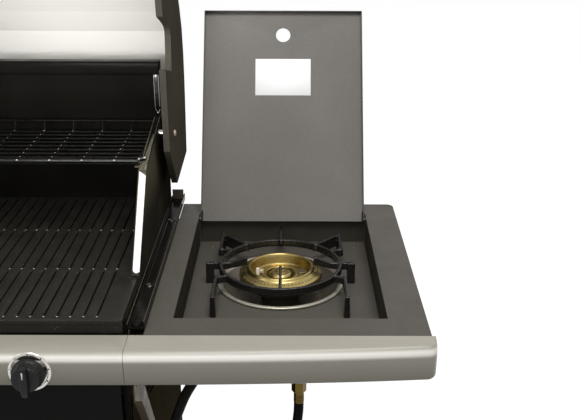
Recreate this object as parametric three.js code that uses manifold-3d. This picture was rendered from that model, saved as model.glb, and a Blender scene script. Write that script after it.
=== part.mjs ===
// A gas barbecue on a cabinet trolley: hooded fire box with a slotted grill plate and a solid
// hotplate, a side shelf on each hand, and a wok burner under a folding lid in the right shelf.
// Millimetres. X runs across, Y to the back, Z up. While it is built, zero is the middle of the
// body, the front edge of the side burner's well and the top of the shelves.
import * as THREE from 'three';
import { mergeVertices } from 'three/addons/utils/BufferGeometryUtils.js';
import Module from 'manifold-3d';

const wasm = await Module();
wasm.setup();

// ---- Driving sizes ----------------------------------------------------------------------------
const GAP = 0.3; // between pieces that touch
const SHEET = 1.6; // steel sheet
const SHELF_HEIGHT = 870; // shelf top above the ground
const BODY_WIDTH = 720;
const BODY_FRONT = -40;
const BODY_BACK = 439;
const BODY_HALF = BODY_WIDTH / 2;
const GROUND = -SHELF_HEIGHT;
const ROUND_SIDES = 16; // faces round an ordinary turned piece
const SMALL_SIDES = 8; // faces round a pin, rod or wire
const BAR_SIDES = 12; // faces round an axle, handle or pipe
const HEX_SIDES = 6;
const PAST = 1; // how far a cut runs past the face that it opens
const SINK = 1; // how far two shapes of one piece run into each other

// Fire box and cooking plates
const END_ROOM = 5.7; // fire box to cabinet side
const FIREBOX_HALF = BODY_HALF - SHEET - END_ROOM;
const FIREBOX_FRONT = -20;
const FIREBOX_BACK = 428;
const PLATE_TOP = 20;
const PLATE_THICK = 8;
const PLATE_FRONT = -46;
const SKIRT_THICK = 8;
const SKIRT_FOOT = 0.5;
const PLATE_SIDE_BORDER = 33;
const SLOT_PITCH = 17.7;
const SLOT_WIDTH = 4.8;
const SLOT_ROWS = 3;
const SLOT_BRIDGE = 8;
const SLOT_END_MARGIN = 13;
const CENTRE_BAR_HALF = 8;
const CENTRE_BAR_DEPTH = 4.8;
const PLATE_SEAM = 1; // between the two plates
const PLATE_BACK_ROOM = 1; // plates to the fire box's rear face
const FLUE_HALF = 150;
const FLUE_MARGIN = 90;

// End panels, back wall and warming rack
const PANEL_FOOT = -20;
const PANEL_FRONT = 88;
const PANEL_NOSE = 22;
const PANEL_SHOULDER_Y = 200;
const PANEL_SHOULDER = 146;
const PANEL_CREST_Y = 235;
const PANEL_CREST = 152;
const PANEL_TOP_Y = 385;
const PANEL_TOP = 181;
const PANEL_FLANGE = 10;
const RACK_LEDGE_WIDTH = 20;
const RACK_LEDGE_TOP = 143.6;
const RACK_FRONT = 232;
const RACK_BACK = 405;
const RACK_WIRE = 4;
const RACK_FRAME_WIRE = 6;
const RACK_WIRES = 8;
const RACK_WIRE_PITCH = 21;
const RACK_BARS = 7;
const RACK_BAR_PITCH = 100.4;
const RACK_WELD = 0.6;
const RACK_LIP = 17;
const WALL_TOP = 268;
const WALL_BAR = 21;
const WALL_BAR_DEPTH = 16;
const WALL_BAR_LEAD = 4; // bar's front face to the wall's
const WALL_ROOM = 2.7; // back wall to the fire box's side
const WALL_HALF = FIREBOX_HALF - WALL_ROOM;
const WALL_HEM = 8;
const WALL_HEM_FOOT = 185;

// Hood. Its outline is (back from the pivot, up from the pivot) with the hood closed.
const PIVOT_Y = 343;
const PIVOT_Z = 164.5;
const HOOD_OPEN_ANGLE = 75;
const CAP_THICK = 10;
const CAP_REACH = 20; // body side to the cap's outer face
const CAP_OUTER_HALF = BODY_HALF + CAP_REACH;
const HOOD_WALL_SPACE = 12;
const HOOD_STEPS = 16;
const HOOD_REAR = [129, 149];
const HOOD_CROWN = [-44, 203];
const HOOD_TOP = [-155, 189];
const HOOD_BROW = [-330, 93];
const HOOD_FACE = [-385, -25];
const HOOD_LIP = [-395, -142];
const CAP_TAIL = [100, 0];
const CAP_HEEL = [3, -53.6];
const CAP_TOE = [-131, -28];
const NOTCH_BACK = [-94, 37];
const NOTCH_FALL = [-134, 55];
const NOTCH_CROWN = [-156, 60];
const NOTCH_RISE = [-177, 40];
const NOTCH_FRONT = [-211, -10];
const NOTCH_STEPS = 12;
const LOBE_TOP = [-255, -8];
const LOBE_FOOT = [-275, -125];
const PIVOT_BOLT = 8;
const PIVOT_HEAD = 16;
const PIVOT_HEAD_THICK = 5;
const PIVOT_SPACER = 12;
const PIVOT_NUT = 13;
const PIVOT_NUT_THICK = 6;
const BORE_ROOM = 0.6; // a bore is this much wider than its pin
const HANDLE_HALF = 260;
const HANDLE_BAR = 22;
const HANDLE_STAND = 44;
const HANDLE_POST = 16;
const HANDLE_POST_INSET = 30;
const HANDLE_PLACE = 0.86; // along the hood's outline, from the rear edge to the lip
const HOOD_SEAT_ROOM = 0.6; // hood's flat-sided skin to a post or dial on it
const GAUGE_PLACE = 0.7;
const GAUGE_WIDTH = 70;
const GAUGE_DEPTH = 14;
const GAUGE_STEM = 6;
const GAUGE_STEM_LENGTH = 40;

// Side shelves and the well of the side burner
const SHELF_OFFSET = 20; // body side to shelf
const SHELF_WIDTH = 382;
const SHELF_FRONT = -48;
const SHELF_BACK = 447;
const SHELF_SKIRT = 25;
const SHELF_CORNER = 12;
const SHELF_START = BODY_HALF + SHELF_OFFSET;
const SHELF_END = SHELF_START + SHELF_WIDTH;
const WELL_OFFSET = 181; // shelf's inner edge to the middle of the well
const WELL_X = SHELF_START + WELL_OFFSET;
const WELL_WIDTH = 295;
const WELL_LENGTH = 400;
const WELL_DEPTH = 55;
const RAIL_ROOM = 1; // end panel to side rail
const RAIL_FRONT = -35;
const RAIL_BACK = 470;
const RAIL_FLOOR = 1;
const RAIL_LIP = 12;
const RAIL_INNER_LIP = 8;
const RAIL_TAB_TOP = 20.5;
const RAIL_TAB_WIDTH = 20;
const PANEL_REAR_ROOM = 2; // end panel's rear edge to the side rail's

// Front strip: control panel in the middle and a fascia on each shelf
const STRIP_FRONT = -97;
const STRIP_BACK = -48.3;
const STRIP_RIDGE = 14;
const STRIP_DROP = 50;
const STRIP_RAKE = 2;
const STRIP_FOOT_ROUND = 5;
const STRIP_WALL = 2;
const STRIP_BOW = 19; // how far the ends fall back from the middle
const STRIP_OVERHANG = 5; // past the shelf's end
const STRIP_END_ROUND = 12;
const STRIP_BACK_LIP = 20;
const STRIP_FOOT_LIP = 12;
const STRIP_HALF = SHELF_END + STRIP_OVERHANG;
const STRIP_STATIONS = 6;
const STRIP_ARC_STEPS = 5;
const STRIP_END_STEPS = 4;
const STRIP_END_TURN = 85; // degrees of the end's round, which stops just short of flat

// Gas controls
const KNOB_PITCH = 160;
const KNOB_PLACES = [-1.5, -0.5, 0.5, 1.5].map((steps) => steps * KNOB_PITCH);
const KNOB_HEIGHT = -27;
const KNOB_WIDTH = 44;
const KNOB_DEPTH = 28;
const KNOB_STAND = 4; // panel to knob, room for the push
const KNOB_GRIP = 10;
const KNOB_GRIP_DEPTH = 9;
const KNOB_SKIRT = 4;
const KNOB_TAPER = 2;
const STEM_WIDTH = 8;
const STEM_REACH = 19; // in front of the panel
const STEM_HOLE = 12;
const VALVE_WIDTH = 26;
const VALVE_FRONT = -86;
const VALVE_BACK = -60;
const VALVE_HALF_HEIGHT = 15;
const VALVE_BOSS_FRONT = -93.2;
const VALVE_BOSS = 18;
const STEM_TAIL = -70;
const VALVE_BORE_BACK = -66;
const PIPE_WIDTH = 18;
const PIPE_Y = -54;
const PIPE_Z = -38;
const PIPE_INSET = 60;
const PIPE_LEFT = PIPE_INSET - BODY_HALF;
const PIPE_REACH = 2; // past the cabinet side
const PIPE_RIGHT = BODY_HALF + PIPE_REACH;
const HOSE_TAIL_WIDTH = 16;
const HOSE_TAIL = 14;
const ELBOW_REACH = 103; // body side to the elbow that the hose hangs from
const ELBOW_LEAN = 32; // degrees from straight down, towards the body
const ELBOW_OUTLET = 18;
const BURNER_INSET = 117.7; // fire box's side to an outer burner
const BURNER_OFFSET = FIREBOX_HALF - BURNER_INSET;
const BURNER_PLACES = [-BURNER_OFFSET, 0, BURNER_OFFSET];
const BURNER_WIDTH = 28;
const BURNER_WALL = 1.5;
const BURNER_FRONT = -34;
const BURNER_BACK = 395;
const JET_WIDTH = 8;
const JET_BACK = -28;
const BURNER_LEDGE_INSET = 30; // burner's rear end to the ledge that carries it

// Side lid
const LID_SIDE_ROOM = 2.5; // lid's side to the well's wall
const LID_WIDTH = WELL_WIDTH - 2 * LID_SIDE_ROOM;
const LID_THICK = 1.2;
const LID_EDGE = 10;
const LID_FRONT = 1.7;
const LID_BACK_ROOM = 7.3; // lid's rear edge to the well's rear wall
const LID_LENGTH = WELL_LENGTH - LID_FRONT - LID_BACK_ROOM;
const LID_HINGE_BACK = 3.8; // hinge line to the lid's rear edge
const LID_HINGE_DROP = 6.2;
const LID_OPEN_ANGLE = 120;
const LID_HOLE = 26.5;
const LID_HOLE_INSET = 44;
const LID_AXIS_Y = LID_FRONT + LID_LENGTH - LID_HINGE_BACK;
const LID_AXIS_Z = -LID_HINGE_DROP;
const LID_STUD = 4;
const LID_STUD_REACH = 6;

// Wok burner and trivet
const WOK_OFFSET = -2; // from the middle of the well
const BURNER_X = WELL_X + WOK_OFFSET;
const BURNER_BACK_ROOM = 168; // from the well's rear wall
const BURNER_Y = WELL_LENGTH - BURNER_BACK_ROOM;
const BOWL_SIDES = 28;
const RING_SIDES = 24;
const BOWL_RIM = 103;
const BOWL_SEAT = 95.5;
const BOWL_ROOM = 1; // bowl to the edge of its hole
const BOWL_NECK = 5;
const BOWL_ROLL = 2;
const BOWL_WALL = 3;
const BOWL_LIP = -50.5;
const BOWL_FLOOR = -86;
const BOWL_FLAT = 34;
const BOWL_KNEE = 68;
const BOWL_RISE = 6;
const BOWL_BORE = 24;
const BASE_STEM = 23;
const BASE_FOOT = -112;
const BASE_COLLAR = 31;
const BASE_NECK = 33;
const BASE_NECK_RISE = 14;
const BASE_HEAD = 58;
const BASE_BRIM = 8;
const BASE_TOP = -48.3;
const MIXER_WIDTH = 22;
const MIXER_BORE = 14;
const MIXER_BORE_START = 60;
const MIXER_LENGTH = 209.5;
const MIXER_Z = -100;
const RING_WIDTH = 134;
const RING_CHAMFER = [8, 4];
const RING_SHOULDER = -34;
const RING_ROUND = 4;
const RING_CROWN = -31;
const RING_BORE = 22;
const RING_FLOOR = 5;
const RIM_WIDTH = 106;
const RIM_TOP = -26;
const RIM_WALL = 4;
const RIM_FLARE = 2;
const RIM_THROAT = 5;
const HUB_RADIUS = 19;
const HUB_DRUM = 8;
const HUB_CHAMFER = 4;
const HUB_BOSS = 8;
const HUB_BOSS_TOP = 16;
const TRIVET_RADIUS = 100;
const TRIVET_TOP = -20;
const TRIVET_BAR = 8;
const TRIVET_DEEP = 12;
const TRIVET_PAD = 10;
const TRIVET_FOOT = 14;
const TRIVET_SIDE = 121;
const TRIVET_LEG_X = 101;
const TRIVET_LEG_Y = 127;
const TRIVET_NODE_X = 83.5;
const TRIVET_NODE_Y = 48;
const TRIVET_ELBOW_Y = 56;
const PRONG_TIP = 53;
const PRONG_TOP = -10;
const PRONG_DEEP = 14;
const PRONG_ROOT = 80;
const FRONT_PRONG_TIP = 36;
const FRONT_PRONG_TOP = -8;
const REAR_BAR_START = 90;
const REAR_BAR_END = 155;
const STRUT_X = 57;
const STRUT_Y = 74;
const STRUT_END_X = 95;
const STRUT_END_Y = 117;

// Gas fitting and hose
const FITTING_OFFSET = 26; // from the middle of the well
const FITTING_X = WELL_X + FITTING_OFFSET;
const FITTING_Y = -4;
const HEX_RADIUS = 10.5;
const HEX_TOP = -88;
const HEX_FOOT = -113;
const FERRULE_RADIUS = 7.5;
const FERRULE_FOOT = -130;
const FERRULE_TAPER = 0.8;
const FERRULE_SHOULDER = 3;
const SPIGOT_WIDTH = 10;
const SPIGOT_REACH = 10; // into the mixer
const SPIGOT_COLLAR = 18;
const HOSE_WIDTH = 14;
const HOSE_ARC_STEPS = 4; // to a half turn
const HOSE_STEPS = 42;

// Cabinet
const CABINET_CLEAR = 112; // ground to cabinet floor
const FLANGE = 12;
const LEDGE_TOP = -150.3;
const LEDGE_WIDTH = 18.4;
const RUNNER_TOP = -171.4;
const RUNNER_WIDTH = 33.4;
const SEAM_SLOT = 2.5;
const SEAM_END = 22;
const FLOOR_UPSTAND = 20;
const RAIL_WEB = 48;
const FRONT_RAIL_LIP = 22;
const FRONT_RAIL_FOOT = 16;
const TRAY_ROOM = 13.4; // tray's lip to the cabinet side
const TRAY_LIP = 25;
const TRAY_LIP_HALF = BODY_HALF - SHEET - TRAY_ROOM;
const TRAY_HALF = TRAY_LIP_HALF - TRAY_LIP;
const TRAY_DEPTH = 24;
const TRAY_FRONT = -15;
const TRAY_BACK = 425;
const TRAY_PULL = 18;
const TRAY_PULL_HALF = 160;
const BACK_PANEL_TOP = -230;
const VENT_HALF = 150;
const VENT_FOOT = -560;
const VENT_HEAD = -360;
const BRACKET_TOP = -SHELF_SKIRT - GAP;
const BRACKET_LEG = 24;
const BRACKET_ARM = 20;
const BRACKET_FRONT = -40;
const BRACKET_BACK = 437;
const BRACKET_REACH = 340;
const BRACE_WIDTH = 36;
const BRACE_FOOT_Y = 150;
const BRACE_FOOT_Z = -300;
const BRACE_FLANGE = 10;
const BRACE_SHOULDER = 16;

// Doors
const DOOR_INSET = 12; // cabinet side's outer face to the door's edge
const DOOR_EDGE = BODY_HALF - DOOR_INSET;
const DOOR_SPLIT = 1.5;
const DOOR_FRONT = -62;
const DOOR_DEPTH = 18;
const DOOR_TOP = -62;
const DOOR_FOOT = -745;
const DOOR_PIN = 6;
const DOOR_PIN_INSET = 9;
const DOOR_PIN_X = DOOR_EDGE - DOOR_PIN_INSET;
const DOOR_TAB = 10; // round the stud
const DOOR_MIDDLE = DOOR_FRONT + DOOR_DEPTH / 2;
const PULL_X = 38;
const PULL_TOP = -150;
const PULL_LENGTH = 200;
const PULL_BAR = 12;
const PULL_STAND = 32;

// Undercarriage
const WHEEL_WIDTH = 30;
const WHEEL_RADIUS = 50;
const WHEEL_DISH = 6;
const TYRE_DEPTH = 13;
const TYRE_ROUND = 4;
const HUB_WALL = 8;
const WHEEL_SIDE_INSET = 60; // cabinet side to the middle of the wheels
const WHEEL_X = WHEEL_SIDE_INSET - BODY_HALF;
const WHEEL_INSET = 45; // cabinet front or back to the middle of a wheel
const AXLE_WIDTH = 12;
const AXLE_ROOM = 0.8;
const AXLE_BRACKET = 4;
const AXLE_BRACKET_HALF = 20;
const AXLE_STUB = 8; // past the wheel's outer face
const AXLE_CAP = 20;
const LEG_WIDTH = 40;
const LEG_INSET = 42;
const LEG_X = BODY_HALF - LEG_INSET;
const PAD_RADIUS = 24;
const PAD_HEIGHT = 14;
const PAD_SLOPE = [6, 4]; // in and down at the pad's upper edge

// ---- Solids -----------------------------------------------------------------------------------

// A closed geometry as a solid that can be joined and cut.
function solidFrom(geometry) {
  const bare = geometry.clone();
  bare.deleteAttribute('normal');
  bare.deleteAttribute('uv');
  const merged = mergeVertices(bare, 1e-4);
  const corners = [];
  for (let i = 0; i < merged.index.count; i += 3) {
    const [a, b, c] = [0, 1, 2].map((k) => merged.index.getX(i + k));
    if (a !== b && b !== c && c !== a) corners.push(a, b, c);
  }
  return new wasm.Manifold(
    new wasm.Mesh({
      numProp: 3,
      vertProperties: merged.attributes.position.array,
      triVerts: new Uint32Array(corners),
    }),
  );
}

function geometryFrom(solid) {
  const mesh = solid.getMesh();
  const geometry = new THREE.BufferGeometry();
  geometry.setAttribute('position', new THREE.BufferAttribute(mesh.vertProperties, 3));
  geometry.setIndex(new THREE.BufferAttribute(mesh.triVerts, 1));
  geometry.computeVertexNormals();
  return geometry;
}

function joined(solids) {
  return solids.reduce((whole, part) => whole.add(part));
}

function cutBy(solid, tools) {
  return tools.length ? solid.subtract(joined(tools)) : solid;
}

// A block between two values on each axis.
function block([x0, x1], [y0, y1], [z0, z1]) {
  const geometry = new THREE.BoxGeometry(x1 - x0, y1 - y0, z1 - z0);
  geometry.translate((x0 + x1) / 2, (y0 + y1) / 2, (z0 + z1) / 2);
  return solidFrom(geometry);
}

// A round bar between two points.
function rod(from, to, width, sides = SMALL_SIDES) {
  const start = new THREE.Vector3(...from);
  const end = new THREE.Vector3(...to);
  const geometry = new THREE.CylinderGeometry(width / 2, width / 2, start.distanceTo(end), sides);
  const along = end.clone().sub(start).normalize();
  const turn = new THREE.Quaternion().setFromUnitVectors(new THREE.Vector3(0, 1, 0), along);
  geometry.applyQuaternion(turn);
  geometry.translate(...start.add(end).multiplyScalar(0.5).toArray());
  return solidFrom(geometry);
}

function outline(points) {
  return new THREE.Shape(points.map(([a, b]) => new THREE.Vector2(a, b)));
}

// A flat outline of (y, z) points, given its thickness along X.
function slabAlongX(points, from, to) {
  const geometry = new THREE.ExtrudeGeometry(outline(points), { depth: to - from, bevelEnabled: false });
  const basis = new THREE.Matrix4().makeBasis(
    new THREE.Vector3(0, 1, 0),
    new THREE.Vector3(0, 0, 1),
    new THREE.Vector3(1, 0, 0),
  );
  geometry.applyMatrix4(basis);
  geometry.translate(from, 0, 0);
  return solidFrom(geometry);
}

// A flat outline of (x, y) points, given its thickness along Z.
function slabAlongZ(shape, from, to, curveSegments = 6) {
  const settings = { depth: to - from, bevelEnabled: false, curveSegments };
  const geometry = new THREE.ExtrudeGeometry(shape, settings);
  geometry.translate(0, 0, from);
  return solidFrom(geometry);
}

// A turned piece about the vertical through (x, y), from (radius, z) points.
function turned(points, x, y, sides = ROUND_SIDES) {
  const profile = points.map(([radius, z]) => new THREE.Vector2(radius, z));
  const geometry = new THREE.LatheGeometry(profile, sides);
  geometry.rotateX(Math.PI / 2);
  geometry.translate(x, y, 0);
  return solidFrom(geometry);
}

// A flat bar of rectangular section that follows (x, y) points in a level plane.
function levelBar(from, to, width, z0, z1) {
  const along = new THREE.Vector2(to[0] - from[0], to[1] - from[1]).normalize();
  const side = new THREE.Vector2(-along.y, along.x).multiplyScalar(width / 2);
  const corners = [
    [from[0] - side.x, from[1] - side.y],
    [to[0] - side.x, to[1] - side.y],
    [to[0] + side.x, to[1] + side.y],
    [from[0] + side.x, from[1] + side.y],
  ];
  return slabAlongZ(outline(corners), z0, z1);
}

// The strip between an open line of points and the same line moved to its left by a thickness.
function band(points, thickness) {
  const moved = points.map((point, index) => {
    const before = points[Math.max(index - 1, 0)];
    const after = points[Math.min(index + 1, points.length - 1)];
    const length = Math.hypot(after[0] - before[0], after[1] - before[1]);
    const normal = [-(after[1] - before[1]) / length, (after[0] - before[0]) / length];
    return [point[0] + normal[0] * thickness, point[1] + normal[1] * thickness];
  });
  return [...points, ...moved.reverse()];
}

const steel = { metalness: 0.9, roughness: 0.35 };
const enamel = { metalness: 0.1, roughness: 0.25 };
const coat = { metalness: 0.3, roughness: 0.6 };
const iron = { metalness: 0.4, roughness: 0.75 };
const brass = { metalness: 1, roughness: 0.3 };
const rubber = { metalness: 0, roughness: 0.7 };

const root = new THREE.Group();
root.name = 'gas_barbecue';
const hood = new THREE.Group();
const lid = new THREE.Group();
root.add(hood, lid);

// Adds a named mesh; a left-hand copy is the right-hand one seen in a mirror.
function place(name, solid, color, finish, parent = root, mirror = false) {
  const material = new THREE.MeshStandardMaterial({ color, ...finish });
  const mesh = new THREE.Mesh(geometryFrom(solid), material);
  mesh.name = name;
  if (mirror) mesh.scale.x = -1;
  parent.add(mesh);
  return mesh;
}

function placePair(name, solid, color, finish, parent = root) {
  place(`${name}_right`, solid, color, finish, parent);
  place(`${name}_left`, solid, color, finish, parent, true);
}

// ---- Cabinet ----------------------------------------------------------------------------------
const CABINET_FOOT = GROUND + CABINET_CLEAR;
const SIDE_INNER = BODY_HALF - SHEET;
const FRONT_RAIL_TOP = -STRIP_DROP - GAP;
const AXLE_Z = GROUND + WHEEL_RADIUS;
const WHEEL_Y = { front: BODY_FRONT + WHEEL_INSET, rear: BODY_BACK - WHEEL_INSET };

// Flat tabs in front of the cabinet, bored for the studs that the doors turn on.
function hingeTabs(z, back) {
  const tabs = [-1, 1].map((side) => {
    const x = side * DOOR_PIN_X;
    return block([x - DOOR_TAB, x + DOOR_TAB], [DOOR_MIDDLE - DOOR_TAB / 2, back], [z, z + SHEET]);
  });
  return tabs.map((tab) => cutBy(tab, hingeBores(z)));
}

function hingeBores(z) {
  return [-1, 1].map((side) => {
    const x = side * DOOR_PIN_X;
    const [low, high] = [z - PAST, z + SHEET + PAST];
    return rod([x, DOOR_MIDDLE, low], [x, DOOR_MIDDLE, high], DOOR_PIN + BORE_ROOM);
  });
}

function cabinetSide() {
  const inner = SIDE_INNER;
  const sheet = block([inner, BODY_HALF], [BODY_FRONT, BODY_BACK], [CABINET_FOOT, RAIL_FLOOR - GAP]);
  const flangeInner = BODY_HALF - FLANGE;
  const flangeZ = [CABINET_FOOT + SHEET + GAP, RUNNER_TOP];
  const front = block([flangeInner, inner + SHEET / 2], [BODY_FRONT, BODY_FRONT + SHEET], flangeZ);
  const back = block([flangeInner, inner + SHEET / 2], [BODY_BACK - SHEET, BODY_BACK], flangeZ);
  const ledgeY = [FIREBOX_FRONT, BODY_BACK - SHEET - GAP];
  const ledge = block([inner - LEDGE_WIDTH, inner + SHEET / 2], ledgeY, [LEDGE_TOP - SHEET, LEDGE_TOP]);
  const runner = block([inner - RUNNER_WIDTH, inner + SHEET / 2], ledgeY, [RUNNER_TOP - SHEET, RUNNER_TOP]);
  const seams = [LEDGE_TOP + SEAM_SLOT, RUNNER_TOP + SEAM_SLOT].map((z) =>
    block([inner - GAP, BODY_HALF + GAP], [BODY_FRONT + SEAM_END, BODY_BACK - SEAM_END], [z, z + SEAM_SLOT]),
  );
  return cutBy(joined([sheet, front, back, ledge, runner]), seams);
}

function cabinetFloor() {
  const half = SIDE_INNER - GAP;
  const front = BODY_FRONT + SHEET + GAP;
  const back = BODY_BACK - SHEET - GAP;
  const outer = block([-half, half], [front, back], [CABINET_FOOT, CABINET_FOOT + FLOOR_UPSTAND]);
  const inner = block(
    [-half + SHEET, half - SHEET],
    [front + SHEET, back - SHEET],
    [CABINET_FOOT + SHEET, CABINET_FOOT + FLOOR_UPSTAND + PAST],
  );
  const bracketX = [WHEEL_X - AXLE_BRACKET_HALF, WHEEL_X + AXLE_BRACKET_HALF];
  const bracketZ = [AXLE_Z - AXLE_WIDTH, CABINET_FOOT + SHEET / 2];
  const brackets = [WHEEL_Y.front + WHEEL_WIDTH, WHEEL_Y.rear - WHEEL_WIDTH].map((y) =>
    block(bracketX, [y - AXLE_BRACKET / 2, y + AXLE_BRACKET / 2], bracketZ),
  );
  const tabs = hingeTabs(CABINET_FOOT, front + SHEET);
  const bore = rod([WHEEL_X, front, AXLE_Z], [WHEEL_X, back, AXLE_Z], AXLE_WIDTH + BORE_ROOM, BAR_SIDES);
  return cutBy(joined([cutBy(outer, [inner]), ...brackets, ...tabs]), [bore]);
}

function backPanel() {
  const y = BODY_BACK - SHEET - GAP - SHEET;
  const half = SIDE_INNER - GAP;
  const foot = CABINET_FOOT + FLOOR_UPSTAND + GAP;
  const sheet = block([-half, half], [y, y + SHEET], [foot, BACK_PANEL_TOP]);
  const vent = block([-VENT_HALF, VENT_HALF], [y - PAST, y + SHEET + PAST], [VENT_FOOT, VENT_HEAD]);
  return cutBy(sheet, [vent]);
}

function frontRail() {
  const half = SIDE_INNER - GAP;
  const y = BODY_FRONT + SHEET + GAP;
  const foot = FRONT_RAIL_TOP - RAIL_WEB;
  const under = FRONT_RAIL_TOP - SHEET;
  const web = block([-half, half], [y, y + SHEET], [foot, FRONT_RAIL_TOP]);
  const lip = block([-half, half], [y - FRONT_RAIL_LIP, y + SHEET], [under, FRONT_RAIL_TOP]);
  const lower = block([-half, half], [y, y + FRONT_RAIL_FOOT], [foot, foot + SHEET]);
  return cutBy(joined([web, lip, lower]), hingeBores(under));
}

function dripTray() {
  const top = RUNNER_TOP + GAP + SHEET;
  const lips = block([-TRAY_LIP_HALF, TRAY_LIP_HALF], [TRAY_FRONT, TRAY_BACK], [top - SHEET, top]);
  const pan = block([-TRAY_HALF, TRAY_HALF], [TRAY_FRONT, TRAY_BACK], [top - TRAY_DEPTH, top]);
  const hollow = block(
    [-TRAY_HALF + SHEET, TRAY_HALF - SHEET],
    [TRAY_FRONT + SHEET, TRAY_BACK - SHEET],
    [top - TRAY_DEPTH + SHEET, top + PAST],
  );
  const pullY = [TRAY_BACK - SHEET, TRAY_BACK + TRAY_PULL];
  const pull = block([-TRAY_PULL_HALF, TRAY_PULL_HALF], pullY, [top - SHEET, top]);
  return joined([cutBy(joined([lips, pan]), [hollow]), pull]);
}

function shelfBracket() {
  const x = BODY_HALF + GAP;
  const foot = BRACKET_TOP - BRACKET_LEG;
  const under = BRACKET_TOP - SHEET;
  const wall = block([x, x + SHEET], [BRACKET_FRONT, BRACKET_BACK], [foot, BRACKET_TOP]);
  const seat = block([x, SHELF_START + FLANGE], [BRACKET_FRONT, BRACKET_BACK], [under, BRACKET_TOP]);
  const arms = [BRACKET_FRONT, BRACKET_BACK - BRACKET_ARM].map((y) => {
    const outer = block([x + SHEET / 2, x + BRACKET_REACH], [y, y + BRACKET_ARM], [foot, BRACKET_TOP]);
    const innerY = [y + SHEET, y + BRACKET_ARM + PAST];
    return cutBy(outer, [block([x, x + BRACKET_REACH + PAST], innerY, [foot - PAST, under])]);
  });
  const slope = Math.atan2(BRACE_FOOT_Z - foot, BRACE_FOOT_Y - BRACKET_FRONT);
  const across = [-Math.sin(slope) * SHEET, Math.cos(slope) * SHEET];
  const tall = BRACE_WIDTH / Math.cos(slope);
  const start = [BRACKET_FRONT, foot - tall];
  const end = [BRACE_FOOT_Y, BRACE_FOOT_Z - tall];
  const web = [
    [BRACKET_FRONT, BRACKET_TOP - SHEET / 2],
    start,
    end,
    [BRACE_FOOT_Y, BRACE_FOOT_Z],
    [BRACKET_FRONT + BRACE_WIDTH, foot - BRACE_SHOULDER],
    [BRACKET_FRONT + BRACE_WIDTH, BRACKET_TOP - SHEET / 2],
  ];
  const fold = [start, end, ...[end, start].map(([y, z]) => [y + across[0], z + across[1]])];
  return joined([
    wall,
    seat,
    ...arms,
    slabAlongX(web, x, x + SHEET),
    slabAlongX(fold, x, x + SHEET + BRACE_FLANGE),
  ]);
}

placePair('cabinet_side', cabinetSide(), 0x252217, enamel);
place('cabinet_floor', cabinetFloor(), 0x1c1b18, coat);
place('back_panel', backPanel(), 0x201f1b, coat);
place('front_rail', frontRail(), 0x1c1b18, coat);
place('drip_tray', dripTray(), 0x8f8d88, steel);
placePair('shelf_bracket', shelfBracket(), 0x8c8577, steel);

// ---- Undercarriage ----------------------------------------------------------------------------
function wheel() {
  const half = WHEEL_WIDTH / 2;
  const bore = (AXLE_WIDTH + AXLE_ROOM) / 2;
  const tread = WHEEL_RADIUS - TYRE_DEPTH;
  const profile = [
    [bore, -half],
    [bore + HUB_WALL, -half],
    [bore + HUB_WALL, -half + WHEEL_DISH],
    [tread, -half + WHEEL_DISH],
    [tread, -half],
    [WHEEL_RADIUS - TYRE_ROUND, -half],
    [WHEEL_RADIUS, -half + TYRE_ROUND],
    [WHEEL_RADIUS, half - TYRE_ROUND],
    [WHEEL_RADIUS - TYRE_ROUND, half],
    [bore, half],
    [bore, -half],
  ];
  return turned(profile, 0, 0);
}

function axle() {
  const half = WHEEL_WIDTH / 2;
  const ends = [
    [WHEEL_Y.front - half - AXLE_STUB, WHEEL_Y.front - half - 2 * GAP],
    [WHEEL_Y.rear + half + AXLE_STUB, WHEEL_Y.rear + half + 2 * GAP],
  ];
  const bar = (from, to, width) => rod([WHEEL_X, from, AXLE_Z], [WHEEL_X, to, AXLE_Z], width, BAR_SIDES);
  const caps = ends.map(([outer, inner]) => bar(outer, inner, AXLE_CAP));
  return joined([bar(ends[0][0], ends[1][0], AXLE_WIDTH), ...caps]);
}

function leg() {
  const half = LEG_WIDTH / 2;
  const post = block([-half, half], [-half, half], [PAD_HEIGHT - SINK, CABINET_CLEAR - GAP]);
  const profile = [
    [0, 0],
    [PAD_RADIUS, 0],
    [PAD_RADIUS, PAD_HEIGHT - PAD_SLOPE[1]],
    [PAD_RADIUS - PAD_SLOPE[0], PAD_HEIGHT],
    [0, PAD_HEIGHT],
  ];
  return joined([post, turned(profile, 0, 0)]);
}

for (const [end, y] of Object.entries(WHEEL_Y)) {
  const rolling = place(`wheel_${end}`, wheel(), 0x16161a, rubber);
  rolling.rotation.x = Math.PI / 2;
  rolling.position.set(WHEEL_X, y, AXLE_Z);
  const standing = place(`leg_${end}`, leg(), 0x1b1a18, coat);
  standing.position.set(LEG_X, y, GROUND);
}
place('wheel_axle', axle(), 0x9a9a98, steel);

// ---- Doors ------------------------------------------------------------------------------------

function door() {
  const back = DOOR_FRONT + DOOR_DEPTH;
  const outer = block([DOOR_SPLIT, DOOR_EDGE], [DOOR_FRONT, back], [DOOR_FOOT, DOOR_TOP]);
  const hollow = block(
    [DOOR_SPLIT + SHEET, DOOR_EDGE - SHEET],
    [DOOR_FRONT + SHEET, back + PAST],
    [DOOR_FOOT + SHEET, DOOR_TOP - SHEET],
  );
  const studs = [
    [CABINET_FOOT + GAP, DOOR_FOOT + SHEET],
    [DOOR_TOP - SHEET, FRONT_RAIL_TOP - GAP],
  ].map(([low, high]) => rod([DOOR_PIN_X, DOOR_MIDDLE, low], [DOOR_PIN_X, DOOR_MIDDLE, high], DOOR_PIN));
  return joined([cutBy(outer, [hollow]), ...studs]);
}

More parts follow.
